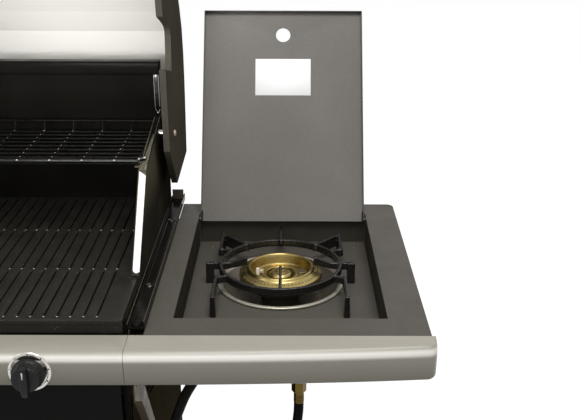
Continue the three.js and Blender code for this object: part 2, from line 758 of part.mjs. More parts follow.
function doorPull() {
  const y = DOOR_FRONT - PULL_STAND;
  const foot = PULL_TOP - PULL_LENGTH;
  const bar = rod([PULL_X, y, foot], [PULL_X, y, PULL_TOP], PULL_BAR, BAR_SIDES);
  const posts = [foot + PULL_BAR, PULL_TOP - PULL_BAR].map((z) =>
    rod([PULL_X, y, z], [PULL_X, DOOR_FRONT - GAP, z], PULL_BAR, BAR_SIDES),
  );
  return joined([bar, ...posts]);
}

placePair('door', door(), 0x12100f, enamel);
placePair('door_handle', doorPull(), 0xb4b2ac, steel);

// ---- Fire box ---------------------------------------------------------------------------------
function firebox() {
  const half = FIREBOX_HALF;
  const top = PLATE_TOP - PLATE_THICK - GAP;
  const foot = LEDGE_TOP + GAP;
  const outer = block([-half, half], [FIREBOX_FRONT, FIREBOX_BACK], [foot, top]);
  const hollow = block(
    [-half + SHEET, half - SHEET],
    [FIREBOX_FRONT + SHEET, FIREBOX_BACK - SHEET],
    [foot + SHEET, top + PAST],
  );
  const flue = block(
    [-FLUE_HALF, FLUE_HALF],
    [FIREBOX_FRONT + FLUE_MARGIN, FIREBOX_BACK - FLUE_MARGIN],
    [foot - PAST, foot + SHEET + PAST],
  );
  const mouths = BURNER_PLACES.map((x) => {
    const [front, back] = [FIREBOX_FRONT - PAST, FIREBOX_FRONT + SHEET + PAST];
    return rod([x, front, PIPE_Z], [x, back, PIPE_Z], BURNER_WIDTH + BORE_ROOM, ROUND_SIDES);
  });
  const bar = block(
    [-CENTRE_BAR_HALF, CENTRE_BAR_HALF],
    [FIREBOX_FRONT + SHEET / 2, FIREBOX_BACK - SHEET / 2],
    [top - CENTRE_BAR_DEPTH, top],
  );
  const ledgeY = BURNER_BACK - BURNER_LEDGE_INSET;
  const ledge = block(
    [-half + SHEET / 2, half - SHEET / 2],
    [ledgeY, ledgeY + SHEET],
    [foot + SHEET / 2, PIPE_Z - BURNER_WIDTH / 2 - GAP],
  );
  return joined([cutBy(outer, [hollow, flue, ...mouths]), bar, ledge]);
}

function plate(slotted) {
  const inner = PLATE_SEAM / 2;
  const outer = FIREBOX_HALF - GAP;
  const back = FIREBOX_BACK - PLATE_BACK_ROOM;
  const deck = block([inner, outer], [PLATE_FRONT, back], [PLATE_TOP - PLATE_THICK, PLATE_TOP]);
  const skirt = block([inner, outer], [PLATE_FRONT, PLATE_FRONT + SKIRT_THICK], [SKIRT_FOOT, PLATE_TOP]);
  const solid = joined([deck, skirt]);
  if (!slotted) return solid;
  const slots = [];
  const run = (back - PLATE_FRONT - 2 * SLOT_END_MARGIN - (SLOT_ROWS - 1) * SLOT_BRIDGE) / SLOT_ROWS;
  const last = outer - PLATE_SIDE_BORDER - SLOT_WIDTH;
  const count = Math.floor((last - inner) / SLOT_PITCH);
  for (let column = 0; column < count; column += 1) {
    const x = last - column * SLOT_PITCH;
    for (let row = 0; row < SLOT_ROWS; row += 1) {
      const y = PLATE_FRONT + SLOT_END_MARGIN + row * (run + SLOT_BRIDGE);
      slots.push(block([x, x + SLOT_WIDTH], [y, y + run], [SKIRT_FOOT - PAST, PLATE_TOP + PAST]));
    }
  }
  return cutBy(solid, slots);
}

function endPanel() {
  const x = FIREBOX_HALF + GAP;
  const crest = [
    [PANEL_FRONT, PANEL_NOSE],
    [PANEL_SHOULDER_Y, PANEL_SHOULDER],
    [PANEL_CREST_Y, PANEL_CREST],
    [PANEL_TOP_Y, PANEL_TOP],
  ];
  const back = RAIL_BACK - PANEL_REAR_ROOM;
  const face = [[PANEL_FRONT, PANEL_FOOT], [back, PANEL_FOOT], [back, PANEL_TOP], ...[...crest].reverse()];
  const sheet = slabAlongX(face, x, x + SHEET);
  const flange = slabAlongX(band(crest, -SHEET), x - PANEL_FLANGE, x + SHEET / 2);
  const ledge = block(
    [x - RACK_LEDGE_WIDTH, x + SHEET / 2],
    [RACK_FRONT - RACK_FRAME_WIRE, RACK_BACK - RACK_FRAME_WIRE],
    [RACK_LEDGE_TOP - SHEET, RACK_LEDGE_TOP],
  );
  const bore = rod(
    [x - PAST, PIVOT_Y, PIVOT_Z],
    [x + SHEET + PAST, PIVOT_Y, PIVOT_Z],
    PIVOT_BOLT + BORE_ROOM,
    ROUND_SIDES,
  );
  return cutBy(joined([sheet, flange, ledge]), [bore]);
}

function backWall() {
  const y = FIREBOX_BACK + GAP;
  const sheet = block([-WALL_HALF, WALL_HALF], [y, y + SHEET], [PANEL_FOOT, WALL_TOP]);
  const front = y - WALL_BAR_LEAD;
  const back = front + WALL_BAR_DEPTH;
  const bar = block([-WALL_HALF, WALL_HALF], [front, back], [WALL_TOP - WALL_BAR, WALL_TOP]);
  const hollow = block(
    [-WALL_HALF - PAST, WALL_HALF + PAST],
    [y + SHEET, back - SHEET],
    [WALL_TOP - WALL_BAR - PAST, WALL_TOP - SHEET],
  );
  const hems = [-1, 1].map((side) => {
    const xs = [side * WALL_HALF, side * (WALL_HALF - WALL_HEM)].sort((a, b) => a - b);
    return block(xs, [front, y + SHEET / 2], [WALL_HEM_FOOT, WALL_TOP - WALL_BAR / 2]);
  });
  return joined([cutBy(joined([sheet, bar]), [hollow]), ...hems]);
}

function warmingRack() {
  const frameX = FIREBOX_HALF + GAP - RACK_LEDGE_WIDTH + RACK_FRAME_WIRE;
  const frameZ = RACK_LEDGE_TOP + GAP + RACK_FRAME_WIRE / 2;
  const barZ = frameZ + RACK_FRAME_WIRE / 2 - RACK_WIRE / 2;
  const wireZ = barZ + RACK_WIRE - RACK_WELD;
  const lipZ = wireZ + RACK_LIP;
  const around = (value, width) => [value - width / 2, value + width / 2];
  const across = (y, z, width) =>
    block([-frameX - width / 2, frameX + width / 2], around(y, width), around(z, width));
  const wires = [across(RACK_FRONT, wireZ, RACK_FRAME_WIRE), across(RACK_BACK, lipZ, RACK_WIRE)];
  for (const x of [-frameX, frameX]) {
    wires.push(block(around(x, RACK_FRAME_WIRE), [RACK_FRONT, RACK_BACK], around(frameZ, RACK_FRAME_WIRE)));
    wires.push(block(around(x, RACK_WIRE), around(RACK_BACK, RACK_WIRE), [frameZ, lipZ]));
  }
  const rearWire = RACK_BACK - RACK_WIRE_PITCH / 2;
  for (let index = 0; index < RACK_WIRES; index += 1) {
    wires.push(across(rearWire - index * RACK_WIRE_PITCH, wireZ, RACK_WIRE));
  }
  const firstBar = (-(RACK_BARS - 1) / 2) * RACK_BAR_PITCH;
  for (let index = 0; index < RACK_BARS; index += 1) {
    const x = firstBar + index * RACK_BAR_PITCH;
    wires.push(block(around(x, RACK_WIRE), [RACK_FRONT, rearWire + RACK_WIRE / 2], around(barZ, RACK_WIRE)));
  }
  return joined(wires);
}

function tubeBurner(x) {
  const bar = (front, back, width) => rod([x, front, PIPE_Z], [x, back, PIPE_Z], width, ROUND_SIDES);
  const bore = bar(BURNER_FRONT - PAST, BURNER_BACK - BURNER_WALL, BURNER_WIDTH - 2 * BURNER_WALL);
  return cutBy(bar(BURNER_FRONT, BURNER_BACK, BURNER_WIDTH), [bore]);
}

place('firebox', firebox(), 0x33312d, coat);
place('grill_plate', plate(true), 0x262523, iron);
place('hotplate', plate(false), 0x2a2927, iron, root, true);
placePair('end_panel', endPanel(), 0x2b2820, enamel);
place('back_wall', backWall(), 0x24231f, enamel);
place('warming_rack', warmingRack(), 0x1d1c1a, enamel);
const BURNER_NAMES = ['left', 'middle', 'right'];
BURNER_PLACES.forEach((x, index) => place(`burner_${BURNER_NAMES[index]}`, tubeBurner(x), 0x9b9a96, steel));

// ---- Front strip ------------------------------------------------------------------------------
const STRIP_CENTRE = STRIP_FRONT + STRIP_RIDGE;

// The strip's section as (y, z), or the same moved inwards by an inset for the hollow in it.
function stripSection(inset) {
  const points = [[STRIP_BACK, -inset]];
  const radius = STRIP_RIDGE - inset;
  for (let step = 0; step <= STRIP_ARC_STEPS; step += 1) {
    const angle = (Math.PI / 2) * (1 + step / STRIP_ARC_STEPS);
    points.push([STRIP_CENTRE + radius * Math.cos(angle), -STRIP_RIDGE + radius * Math.sin(angle)]);
  }
  const foot = STRIP_FRONT + STRIP_RAKE;
  points.push([foot + inset, -STRIP_DROP + STRIP_FOOT_ROUND]);
  points.push([foot + STRIP_FOOT_ROUND, -STRIP_DROP + inset]);
  points.push([STRIP_BACK, -STRIP_DROP + inset]);
  return points;
}

// A length of strip through the stations along X. It bows back towards the object's ends, and
// its last stretch rounds off.
function strip(section, stations, endRound) {
  const last = stations.length - 1;
  const settings = { depth: last, steps: last, bevelEnabled: false };
  const geometry = new THREE.ExtrudeGeometry(outline([...section].reverse()), settings);
  const corners = geometry.attributes.position;
  const middle = -STRIP_DROP / 2;
  for (let index = 0; index < corners.count; index += 1) {
    const y = corners.getX(index);
    const z = corners.getY(index);
    const x = stations[Math.round(corners.getZ(index))];
    const forward = (STRIP_BACK - y) / (STRIP_BACK - STRIP_FRONT);
    const bow = STRIP_BOW * (Math.abs(x) / STRIP_HALF) ** 4;
    const past = Math.max(0, x - (STRIP_HALF - endRound));
    const inset = endRound ? endRound - Math.sqrt(endRound ** 2 - past ** 2) : 0;
    const squeeze = 1 - (inset / STRIP_DROP) * forward;
    corners.setXYZ(index, x, y + (bow + inset) * forward, middle + (z - middle) * squeeze);
  }
  return solidFrom(geometry);
}


function fascia() {
  const start = BODY_HALF + GAP;
  const straight = STRIP_HALF - STRIP_END_ROUND;
  const stations = [];
  for (let index = 0; index < STRIP_STATIONS; index += 1) {
    stations.push(start + ((straight - start) * index) / STRIP_STATIONS);
  }
  for (let step = 0; step <= STRIP_END_STEPS; step += 1) {
    const turn = THREE.MathUtils.degToRad((STRIP_END_TURN * step) / STRIP_END_STEPS);
    stations.push(straight + STRIP_END_ROUND * Math.sin(turn));
  }
  const shell = strip(stripSection(0), stations, STRIP_END_ROUND);
  const hollowEnd = straight + STRIP_END_ROUND / 2;
  const inner = [start - PAST, ...stations.slice(1).filter((x) => x < hollowEnd), hollowEnd];
  const hollow = strip(stripSection(STRIP_WALL), inner, STRIP_END_ROUND);
  const wallY = [STRIP_BACK - STRIP_WALL, STRIP_BACK + PAST];
  const innerX = [start - PAST, hollowEnd];
  const backLip = block([start - 2 * PAST, STRIP_HALF], wallY, [-STRIP_BACK_LIP, PAST]);
  const mouthBack = block(innerX, wallY, [-STRIP_DROP, -STRIP_BACK_LIP]);
  const mouthFoot = block(
    innerX,
    [STRIP_FRONT + STRIP_BOW + STRIP_FOOT_LIP, STRIP_BACK + PAST],
    [-STRIP_DROP - PAST, -STRIP_DROP + STRIP_WALL + PAST],
  );
  return cutBy(shell, [cutBy(hollow, [backLip]), mouthFoot, mouthBack]);
}

function controlPanel() {
  const half = BODY_HALF - GAP;
  const stations = [];
  for (let index = 0; index <= STRIP_STATIONS; index += 1) {
    stations.push(-half + (2 * half * index) / STRIP_STATIONS);
  }
  const inner = [-half - PAST, ...stations.slice(1, -1), half + PAST];
  const shell = strip(stripSection(0), stations, 0);
  const hollow = strip(stripSection(STRIP_WALL), inner, 0);
  const mouth = block(
    [-half - PAST, half + PAST],
    [STRIP_BACK - STRIP_WALL, STRIP_BACK + PAST],
    [-STRIP_DROP + STRIP_WALL, -STRIP_WALL],
  );
  const holes = KNOB_PLACES.map((x) =>
    rod([x, STRIP_FRONT - PAST, KNOB_HEIGHT], [x, STRIP_CENTRE, KNOB_HEIGHT], STEM_HOLE, BAR_SIDES),
  );
  return cutBy(shell, [hollow, mouth, ...holes]);
}

placePair('fascia', fascia(), 0xb2ac9e, steel);
place('control_panel', controlPanel(), 0xaaa598, steel);

// ---- Gas controls -----------------------------------------------------------------------------
const ELBOW_X = BODY_HALF + ELBOW_REACH;

// A place on the elbow's line, past its outlet by a distance.
function outletEnd(past) {
  const lean = THREE.MathUtils.degToRad(ELBOW_LEAN);
  const reach = ELBOW_OUTLET + past;
  return [ELBOW_X - Math.sin(lean) * reach, PIPE_Y, PIPE_Z - Math.cos(lean) * reach];
}

function gasManifold() {
  const alongX = (from, to, width, sides) => rod([from, PIPE_Y, PIPE_Z], [to, PIPE_Y, PIPE_Z], width, sides);
  const parts = [
    alongX(PIPE_LEFT, PIPE_RIGHT, PIPE_WIDTH, BAR_SIDES),
    alongX(PIPE_RIGHT - SINK, ELBOW_X + HOSE_TAIL_WIDTH / 2, HOSE_TAIL_WIDTH, BAR_SIDES),
    rod([ELBOW_X, PIPE_Y, PIPE_Z], outletEnd(0), HOSE_TAIL_WIDTH, BAR_SIDES),
    alongX(PIPE_LEFT - HOSE_TAIL, PIPE_LEFT + SINK, HOSE_TAIL_WIDTH, HEX_SIDES),
  ];
  const bores = [];
  for (const x of KNOB_PLACES) {
    const alongY = (from, to, width, sides) =>
      rod([x, from, KNOB_HEIGHT], [x, to, KNOB_HEIGHT], width, sides);
    const valveX = [x - VALVE_WIDTH / 2, x + VALVE_WIDTH / 2];
    const valveZ = [KNOB_HEIGHT - VALVE_HALF_HEIGHT, KNOB_HEIGHT + VALVE_HALF_HEIGHT];
    parts.push(block(valveX, [VALVE_FRONT, VALVE_BACK], valveZ));
    parts.push(alongY(VALVE_BOSS_FRONT, VALVE_FRONT + SINK, VALVE_BOSS, BAR_SIDES));
    bores.push(alongY(VALVE_BOSS_FRONT - PAST, VALVE_BORE_BACK, STEM_WIDTH + BORE_ROOM, BAR_SIDES));
  }
  for (const x of BURNER_PLACES) parts.push(rod([x, PIPE_Y, PIPE_Z], [x, JET_BACK, PIPE_Z], JET_WIDTH));
  return cutBy(joined(parts), bores);
}

function knob() {
  const radius = KNOB_WIDTH / 2;
  const deck = KNOB_STAND + KNOB_DEPTH - KNOB_GRIP_DEPTH;
  const profile = [
    [0, KNOB_STAND],
    [radius, KNOB_STAND],
    [radius, KNOB_STAND + KNOB_SKIRT],
    [radius - KNOB_TAPER, deck],
    [0, deck],
  ];
  const body = turned(profile, 0, 0, RING_SIDES);
  const gripX = [-KNOB_GRIP / 2, KNOB_GRIP / 2];
  const gripY = [KNOB_TAPER - radius, radius - KNOB_TAPER];
  const grip = block(gripX, gripY, [deck - SINK, KNOB_STAND + KNOB_DEPTH]);
  const bore = rod([0, 0, 0], [0, 0, STEM_REACH + GAP], STEM_WIDTH + BORE_ROOM, BAR_SIDES);
  return cutBy(joined([body, grip]), [bore]);
}

// The panel's face leans back from its ridge to its foot.
const PANEL_LEAN = STRIP_RAKE / (STRIP_DROP - STRIP_RIDGE);
const PANEL_FACE = STRIP_FRONT + PANEL_LEAN * (-STRIP_RIDGE - KNOB_HEIGHT);
place('gas_manifold', gasManifold(), 0x8d7a4a, brass);
KNOB_PLACES.forEach((x, index) => {
  const [tail, tip] = [STEM_TAIL, PANEL_FACE - STEM_REACH];
  const stem = rod([x, tail, KNOB_HEIGHT], [x, tip, KNOB_HEIGHT], STEM_WIDTH, BAR_SIDES);
  place(`valve_stem_${index + 1}`, stem, 0xb9a25c, brass);
  const turning = place(`knob_${index + 1}`, knob(), 0x161617, coat);
  turning.rotation.x = Math.PI / 2;
  turning.position.set(x, PANEL_FACE, KNOB_HEIGHT);
});

// ---- Shelves ----------------------------------------------------------------------------------
// The shelf seen from above, or the same outline moved inwards for the hollow under it.
function shelfOutline(inset) {
  const round = SHELF_CORNER - inset;
  const [left, right] = [SHELF_START + inset, SHELF_END - inset];
  const [front, back] = [SHELF_FRONT + inset, SHELF_BACK - inset];
  const shape = new THREE.Shape();
  shape.moveTo(left, front);
  shape.lineTo(right, front);
  shape.lineTo(right, back - round);
  shape.absarc(right - round, back - round, round, 0, Math.PI / 2, false);
  shape.lineTo(left, back);
  return shape;
}

function shelfBlank() {
  const outer = slabAlongZ(shelfOutline(0), -SHELF_SKIRT, 0);
  return cutBy(outer, [slabAlongZ(shelfOutline(SHEET), -SHELF_SKIRT - PAST, -SHEET)]);
}

function shelfWithWell() {
  const half = WELL_WIDTH / 2;
  const reach = half + SHEET;
  const floor = -WELL_DEPTH - SHEET;
  const well = block([WELL_X - reach, WELL_X + reach], [-SHEET, WELL_LENGTH + SHEET], [floor, -SHEET / 2]);
  const inside = block([WELL_X - half, WELL_X + half], [0, WELL_LENGTH], [-WELL_DEPTH, PAST]);
  const hole = rod(
    [BURNER_X, BURNER_Y, floor - PAST],
    [BURNER_X, BURNER_Y, -WELL_DEPTH + PAST],
    2 * BOWL_SEAT,
    BOWL_SIDES,
  );
  const hinge = rod(
    [WELL_X - reach - PAST, LID_AXIS_Y, LID_AXIS_Z],
    [WELL_X + reach + PAST, LID_AXIS_Y, LID_AXIS_Z],
    LID_STUD + BORE_ROOM,
  );
  return cutBy(joined([shelfBlank(), well]), [inside, hole, hinge]);
}

place('shelf_right', shelfWithWell(), 0x5c5751, coat);
place('shelf_left', shelfBlank(), 0x5c5751, coat, root, true);

function sideRail() {
  const inner = FIREBOX_HALF + GAP + SHEET + RAIL_ROOM;
  const outer = SHELF_START - GAP;
  const throughY = [RAIL_FRONT - PAST, RAIL_BACK + PAST];
  const blank = block([inner, outer], [RAIL_FRONT, RAIL_BACK], [RAIL_FLOOR, RAIL_LIP]);
  const trough = block([inner + SHEET, outer - SHEET], throughY, [RAIL_FLOOR + SHEET, RAIL_LIP + PAST]);
  const low = block([inner - PAST, inner + SHEET + PAST], throughY, [RAIL_INNER_LIP, RAIL_LIP + PAST]);
  const tabX = [inner + SHEET, inner + SHEET + RAIL_TAB_WIDTH];
  const tab = block(tabX, [RAIL_BACK - 2 * SHEET, RAIL_BACK - SHEET], [RAIL_FLOOR + SHEET / 2, RAIL_TAB_TOP]);
  return joined([cutBy(blank, [trough, low]), tab]);
}

placePair('side_rail', sideRail(), 0x23211c, enamel);

// ---- Hood -------------------------------------------------------------------------------------
function smoothLine(places) {
  return new THREE.SplineCurve(places.map(([a, b]) => new THREE.Vector2(a, b)));
}

const hoodLine = smoothLine([HOOD_REAR, HOOD_CROWN, HOOD_TOP, HOOD_BROW, HOOD_FACE, HOOD_LIP]);
const hoodPoints = hoodLine.getSpacedPoints(HOOD_STEPS).map((point) => [point.x, point.y]);
const CAP_INNER_HALF = CAP_OUTER_HALF - CAP_THICK;
const SKIN_HALF = CAP_INNER_HALF - GAP;

// Places at a share of the hood's outline, given as x and the distance outside the hood.
function hoodPlace(share) {
  const point = hoodLine.getPointAt(share);
  const along = hoodLine.getTangentAt(share);
  return (x, distance) => [x, point.x + along.y * distance, point.y - along.x * distance];
}

function gaugeBore() {
  const at = hoodPlace(GAUGE_PLACE);
  return rod(at(0, -2 * HOOD_WALL_SPACE), at(0, HOOD_WALL_SPACE), GAUGE_STEM + BORE_ROOM);
}

function hoodSkin(offset) {
  const line = offset ? band(hoodPoints, offset).slice(hoodPoints.length).reverse() : hoodPoints;
  return cutBy(slabAlongX(band(line, SHEET), -SKIN_HALF, SKIN_HALF), [gaugeBore()]);
}

function hoodCap() {
  const notch = smoothLine([NOTCH_FRONT, NOTCH_RISE, NOTCH_CROWN, NOTCH_FALL, NOTCH_BACK]);
  const lower = [
    LOBE_FOOT,
    LOBE_TOP,
    ...notch.getPoints(NOTCH_STEPS).map((point) => [point.x, point.y]),
    CAP_TOE,
    CAP_HEEL,
    CAP_TAIL,
  ];
  const solid = slabAlongX([...hoodPoints, ...lower].reverse(), CAP_INNER_HALF, CAP_OUTER_HALF);
  const [start, end] = [CAP_INNER_HALF - PAST, CAP_OUTER_HALF + PAST];
  return cutBy(solid, [rod([start, 0, 0], [end, 0, 0], PIVOT_BOLT + BORE_ROOM, ROUND_SIDES)]);
}

function hoodHandle() {
  const at = hoodPlace(HANDLE_PLACE);
  const bar = rod(at(-HANDLE_HALF, HANDLE_STAND), at(HANDLE_HALF, HANDLE_STAND), HANDLE_BAR, ROUND_SIDES);
  const posts = [-1, 1].map((side) => {
    const x = side * (HANDLE_HALF - HANDLE_POST_INSET);
    return rod(at(x, HOOD_SEAT_ROOM), at(x, HANDLE_STAND), HANDLE_POST, BAR_SIDES);
  });
  return joined([bar, ...posts]);
}

function gauge() {
  const at = hoodPlace(GAUGE_PLACE);
  const dial = rod(at(0, HOOD_SEAT_ROOM), at(0, GAUGE_DEPTH), GAUGE_WIDTH, BOWL_SIDES);
  const stem = rod(at(0, GAUGE_DEPTH / 2 - GAUGE_STEM_LENGTH), at(0, GAUGE_DEPTH / 2), GAUGE_STEM);
  return joined([dial, stem]);
}

function pivotBolt() {
  const nutEnd = FIREBOX_HALF - PIVOT_NUT_THICK;
  const headStart = CAP_OUTER_HALF + GAP;
  const bar = (from, to, width, sides) =>
    rod([from, PIVOT_Y, PIVOT_Z], [to, PIVOT_Y, PIVOT_Z], width, sides);
  return joined([
    bar(nutEnd, headStart + SINK, PIVOT_BOLT, ROUND_SIDES),
    bar(nutEnd, FIREBOX_HALF, PIVOT_NUT, HEX_SIDES),
    bar(FIREBOX_HALF + 2 * GAP + SHEET, CAP_INNER_HALF - GAP, PIVOT_SPACER, BAR_SIDES),
    bar(headStart, headStart + PIVOT_HEAD_THICK, PIVOT_HEAD, ROUND_SIDES),
  ]);
}

place('hood_outer_skin', hoodSkin(0), 0x1b1a18, enamel, hood);
place('hood_inner_skin', hoodSkin(HOOD_WALL_SPACE), 0xe8e5de, steel, hood);
placePair('hood_cap', hoodCap(), 0x322e27, coat, hood);
place('hood_handle', hoodHandle(), 0xb4b2ac, steel, hood);
place('thermometer', gauge(), 0xc4c2bc, steel, hood);
placePair('hood_pivot_bolt', pivotBolt(), 0xb9a25c, brass);
hood.position.set(0, PIVOT_Y, PIVOT_Z);
hood.rotation.x = THREE.MathUtils.degToRad(-HOOD_OPEN_ANGLE);

// ---- Side lid ---------------------------------------------------------------------------------
// Modelled shut, about its hinge line.
function sideLid() {
  const half = LID_WIDTH / 2;
  const front = LID_HINGE_BACK - LID_LENGTH;
  const top = LID_HINGE_DROP;
  const under = top - LID_THICK;
  const foot = top - LID_EDGE;
  const blank = block([-half, half], [front, LID_HINGE_BACK], [foot, top]);
  const hollow = block(
    [-half + LID_THICK, half - LID_THICK],
    [front + LID_THICK, LID_HINGE_BACK + PAST],
    [foot - PAST, under],
  );
  const holeY = front + LID_HOLE_INSET;
  const hole = rod([0, holeY, under - PAST], [0, holeY, top + PAST], LID_HOLE, RING_SIDES);
  const studs = [-1, 1].map((side) =>
    rod([side * (half - LID_THICK / 2), 0, 0], [side * (half + LID_STUD_REACH), 0, 0], LID_STUD),
  );
  return joined([cutBy(blank, [hollow, hole]), ...studs]);
}

place('side_lid', sideLid(), 0x6d6a66, coat, lid);
lid.position.set(WELL_X, LID_AXIS_Y, LID_AXIS_Z);
lid.rotation.x = THREE.MathUtils.degToRad(-LID_OPEN_ANGLE);

// ---- Wok burner -------------------------------------------------------------------------------
function burnerBowl() {
  const seat = -WELL_DEPTH + GAP;
  const neck = BOWL_SEAT - BOWL_ROOM;
  const under = BOWL_FLOOR - SHEET;
  const profile = [
    [BOWL_BORE, under],
    [BOWL_FLAT, under],
    [BOWL_KNEE, under + BOWL_RISE],
    [neck, seat - BOWL_NECK],
    [neck, seat],
    [BOWL_RIM - BOWL_ROLL / 2, seat],
    [BOWL_RIM, (seat + BOWL_LIP) / 2],
    [BOWL_RIM - BOWL_ROLL, BOWL_LIP],
    [neck + BOWL_ROLL, BOWL_LIP],
    [neck - BOWL_WALL, seat - BOWL_WALL],
    [BOWL_KNEE, BOWL_FLOOR + BOWL_RISE],
    [BOWL_FLAT, BOWL_FLOOR],
    [BOWL_BORE, BOWL_FLOOR],
    [BOWL_BORE, under],
  ];
  return turned(profile, BURNER_X, BURNER_Y, BOWL_SIDES);
}

// A place on the line from the burner to the gas fitting, given its distance from the burner.
const mixerRun = new THREE.Vector2(FITTING_X - BURNER_X, FITTING_Y - BURNER_Y).normalize();
function onMixer(distance) {
  return [BURNER_X + mixerRun.x * distance, BURNER_Y + mixerRun.y * distance, MIXER_Z];
}

function burnerBase() {
  const seat = BOWL_FLOOR + GAP;
  const profile = [
    [0, BASE_FOOT],
    [BASE_STEM, BASE_FOOT],
    [BASE_STEM, seat],
    [BASE_COLLAR, seat],
    [BASE_NECK, seat + BASE_NECK_RISE],
    [BASE_HEAD, BASE_TOP - BASE_BRIM],
    [BASE_HEAD, BASE_TOP],
    [0, BASE_TOP],
  ];
  const body = turned(profile, BURNER_X, BURNER_Y, RING_SIDES);
  const tube = rod(onMixer(0), onMixer(MIXER_LENGTH), MIXER_WIDTH, ROUND_SIDES);
  const bore = rod(onMixer(MIXER_BORE_START), onMixer(MIXER_LENGTH + PAST), MIXER_BORE, BAR_SIDES);
  return cutBy(joined([body, tube]), [bore]);
}

function burnerRing() {
  const foot = BASE_TOP + GAP;
  const outer = RING_WIDTH / 2;
  const rim = RIM_WIDTH / 2;
  const profile = [
    [RING_BORE, foot],
    [outer - RING_CHAMFER[0], foot],
    [outer, foot + RING_CHAMFER[1]],
    [outer, RING_SHOULDER - RING_ROUND],
    [outer - RING_ROUND, RING_SHOULDER],
    [rim + RIM_FLARE, RING_CROWN],
    [rim, RIM_TOP],
    [rim - RIM_WALL, RIM_TOP],
    [rim - RIM_WALL - RIM_FLARE, RIM_TOP - RIM_THROAT],
    [rim - 2 * RIM_WALL, foot + RING_FLOOR],
    [RING_BORE, foot + RING_FLOOR],
    [RING_BORE, foot],
  ];
  return turned(profile, BURNER_X, BURNER_Y, RING_SIDES);
}

function burnerHub() {
  const foot = BASE_TOP + GAP;
  const top = foot + HUB_DRUM + HUB_CHAMFER;
  const profile = [
    [0, foot],
    [HUB_RADIUS, foot],
    [HUB_RADIUS, foot + HUB_DRUM],
    [HUB_RADIUS - HUB_CHAMFER, top],
    [HUB_BOSS, top],
    [HUB_BOSS, foot + HUB_BOSS_TOP],
    [0, foot + HUB_BOSS_TOP],
  ];
  return turned(profile, BURNER_X, BURNER_Y);
}

// A side prong of the trivet, standing upright from the ring towards the burner.
function sideProng(side, root, under) {
  const points = [
    [root, under],
    [root, TRIVET_TOP],
    [PRONG_ROOT, TRIVET_TOP + SINK],
    [PRONG_TIP, PRONG_TOP],
    [PRONG_TIP, PRONG_TOP - PRONG_DEEP],
  ];
  const settings = { depth: TRIVET_BAR, bevelEnabled: false };
  const geometry = new THREE.ExtrudeGeometry(outline(points), settings);
  geometry.rotateX(Math.PI / 2);
  geometry.translate(0, TRIVET_BAR / 2, 0);
  if (side < 0) geometry.rotateZ(Math.PI);
  return solidFrom(geometry);
}

function trivet() {
  const floor = -WELL_DEPTH + GAP;
  const under = TRIVET_TOP - TRIVET_DEEP;
  const half = TRIVET_BAR / 2;
  const mid = TRIVET_RADIUS - half;
  const ring = [
    [mid - half, under],
    [mid + half, under],
    [mid + half, TRIVET_TOP],
    [mid - half, TRIVET_TOP],
    [mid - half, under],
  ];
  const bar = (from, to) => levelBar(from, to, TRIVET_BAR, under, TRIVET_TOP);
  const pad = (x, y) => {
    const [halfX, halfY] = [TRIVET_PAD / 2, TRIVET_FOOT / 2];
    return block([x - halfX, x + halfX], [y - halfY, y + halfY], [floor, TRIVET_TOP]);
  };
  const parts = [turned(ring, 0, 0, BOWL_SIDES), bar([0, REAR_BAR_START], [0, REAR_BAR_END])];
  for (const side of [-1, 1]) {
    parts.push(pad(side * (TRIVET_SIDE - TRIVET_PAD / 2), 0));
    parts.push(bar([side * mid, 0], [side * (TRIVET_SIDE - half), 0]), sideProng(side, mid, under));
    for (const end of [-1, 1]) {
      const elbow = [side * TRIVET_LEG_X, end * TRIVET_ELBOW_Y];
      const foot = [side * TRIVET_LEG_X, end * TRIVET_LEG_Y];
      parts.push(bar([side * TRIVET_NODE_X, end * TRIVET_NODE_Y], elbow));
      parts.push(bar([elbow[0], elbow[1] - end * half], foot));
      parts.push(pad(foot[0], foot[1] - (end * TRIVET_FOOT) / 2));
    }
    const knee = [side * STRUT_END_X, STRUT_END_Y];
    parts.push(bar([side * STRUT_X, STRUT_Y], knee));
    parts.push(bar(knee, [side * TRIVET_LEG_X, TRIVET_LEG_Y - TRIVET_BAR]));
  }
  const frontProng = [
    [-mid, TRIVET_TOP],
    [-mid, under],
    [-FRONT_PRONG_TIP, FRONT_PRONG_TOP - TRIVET_DEEP],
    [-FRONT_PRONG_TIP, FRONT_PRONG_TOP],
  ];
  return joined([...parts, slabAlongX(frontProng, -half, half)]);
}

function gasFitting() {
  const axis = [FITTING_X, FITTING_Y];
  const hex = rod([...axis, HEX_FOOT], [...axis, HEX_TOP], 2 * HEX_RADIUS, HEX_SIDES);
  const profile = [
    [0, FERRULE_FOOT],
    [FERRULE_RADIUS - FERRULE_TAPER, FERRULE_FOOT],
    [FERRULE_RADIUS, HEX_FOOT - FERRULE_SHOULDER],
    [FERRULE_RADIUS, HEX_FOOT + SINK],
    [0, HEX_FOOT + SINK],
  ];
  const ferrule = turned(profile, ...axis);
  const spigot = rod([...axis, MIXER_Z], onMixer(MIXER_LENGTH - SPIGOT_REACH), SPIGOT_WIDTH);
  const collar = rod([...axis, MIXER_Z], onMixer(MIXER_LENGTH + GAP), SPIGOT_COLLAR, HEX_SIDES);
  return joined([hex, ferrule, spigot, collar]);
}

// The hose runs from the brass fitting down, round a hanging loop and back up to the pipe's elbow.
const HOSE_ROUTE = [
  [0, 0, 0],
  [-0.5, 0, -16],
  [-2.5, 0, -36],
  [-6.5, -0.5, -66],
  [-15, -1.5, -98],
  [-31, -3, -129],
  [-57, -5.5, -154],
  [-88.5, -9, -166],
  [-122, -13, -163],
  [-150, -18, -145],
  [-169, -23, -119],
  [-179, -27.5, -90],
  [-181, -31, -60],
  [-177.5, -34.5, -32],
  [-171, -38, -6],
  [-163.3, -42.5, 17],
  [-154.6, -47.5, 40],
  [-144.9, -50, 58.8],
  [-134, -50, 76],
];

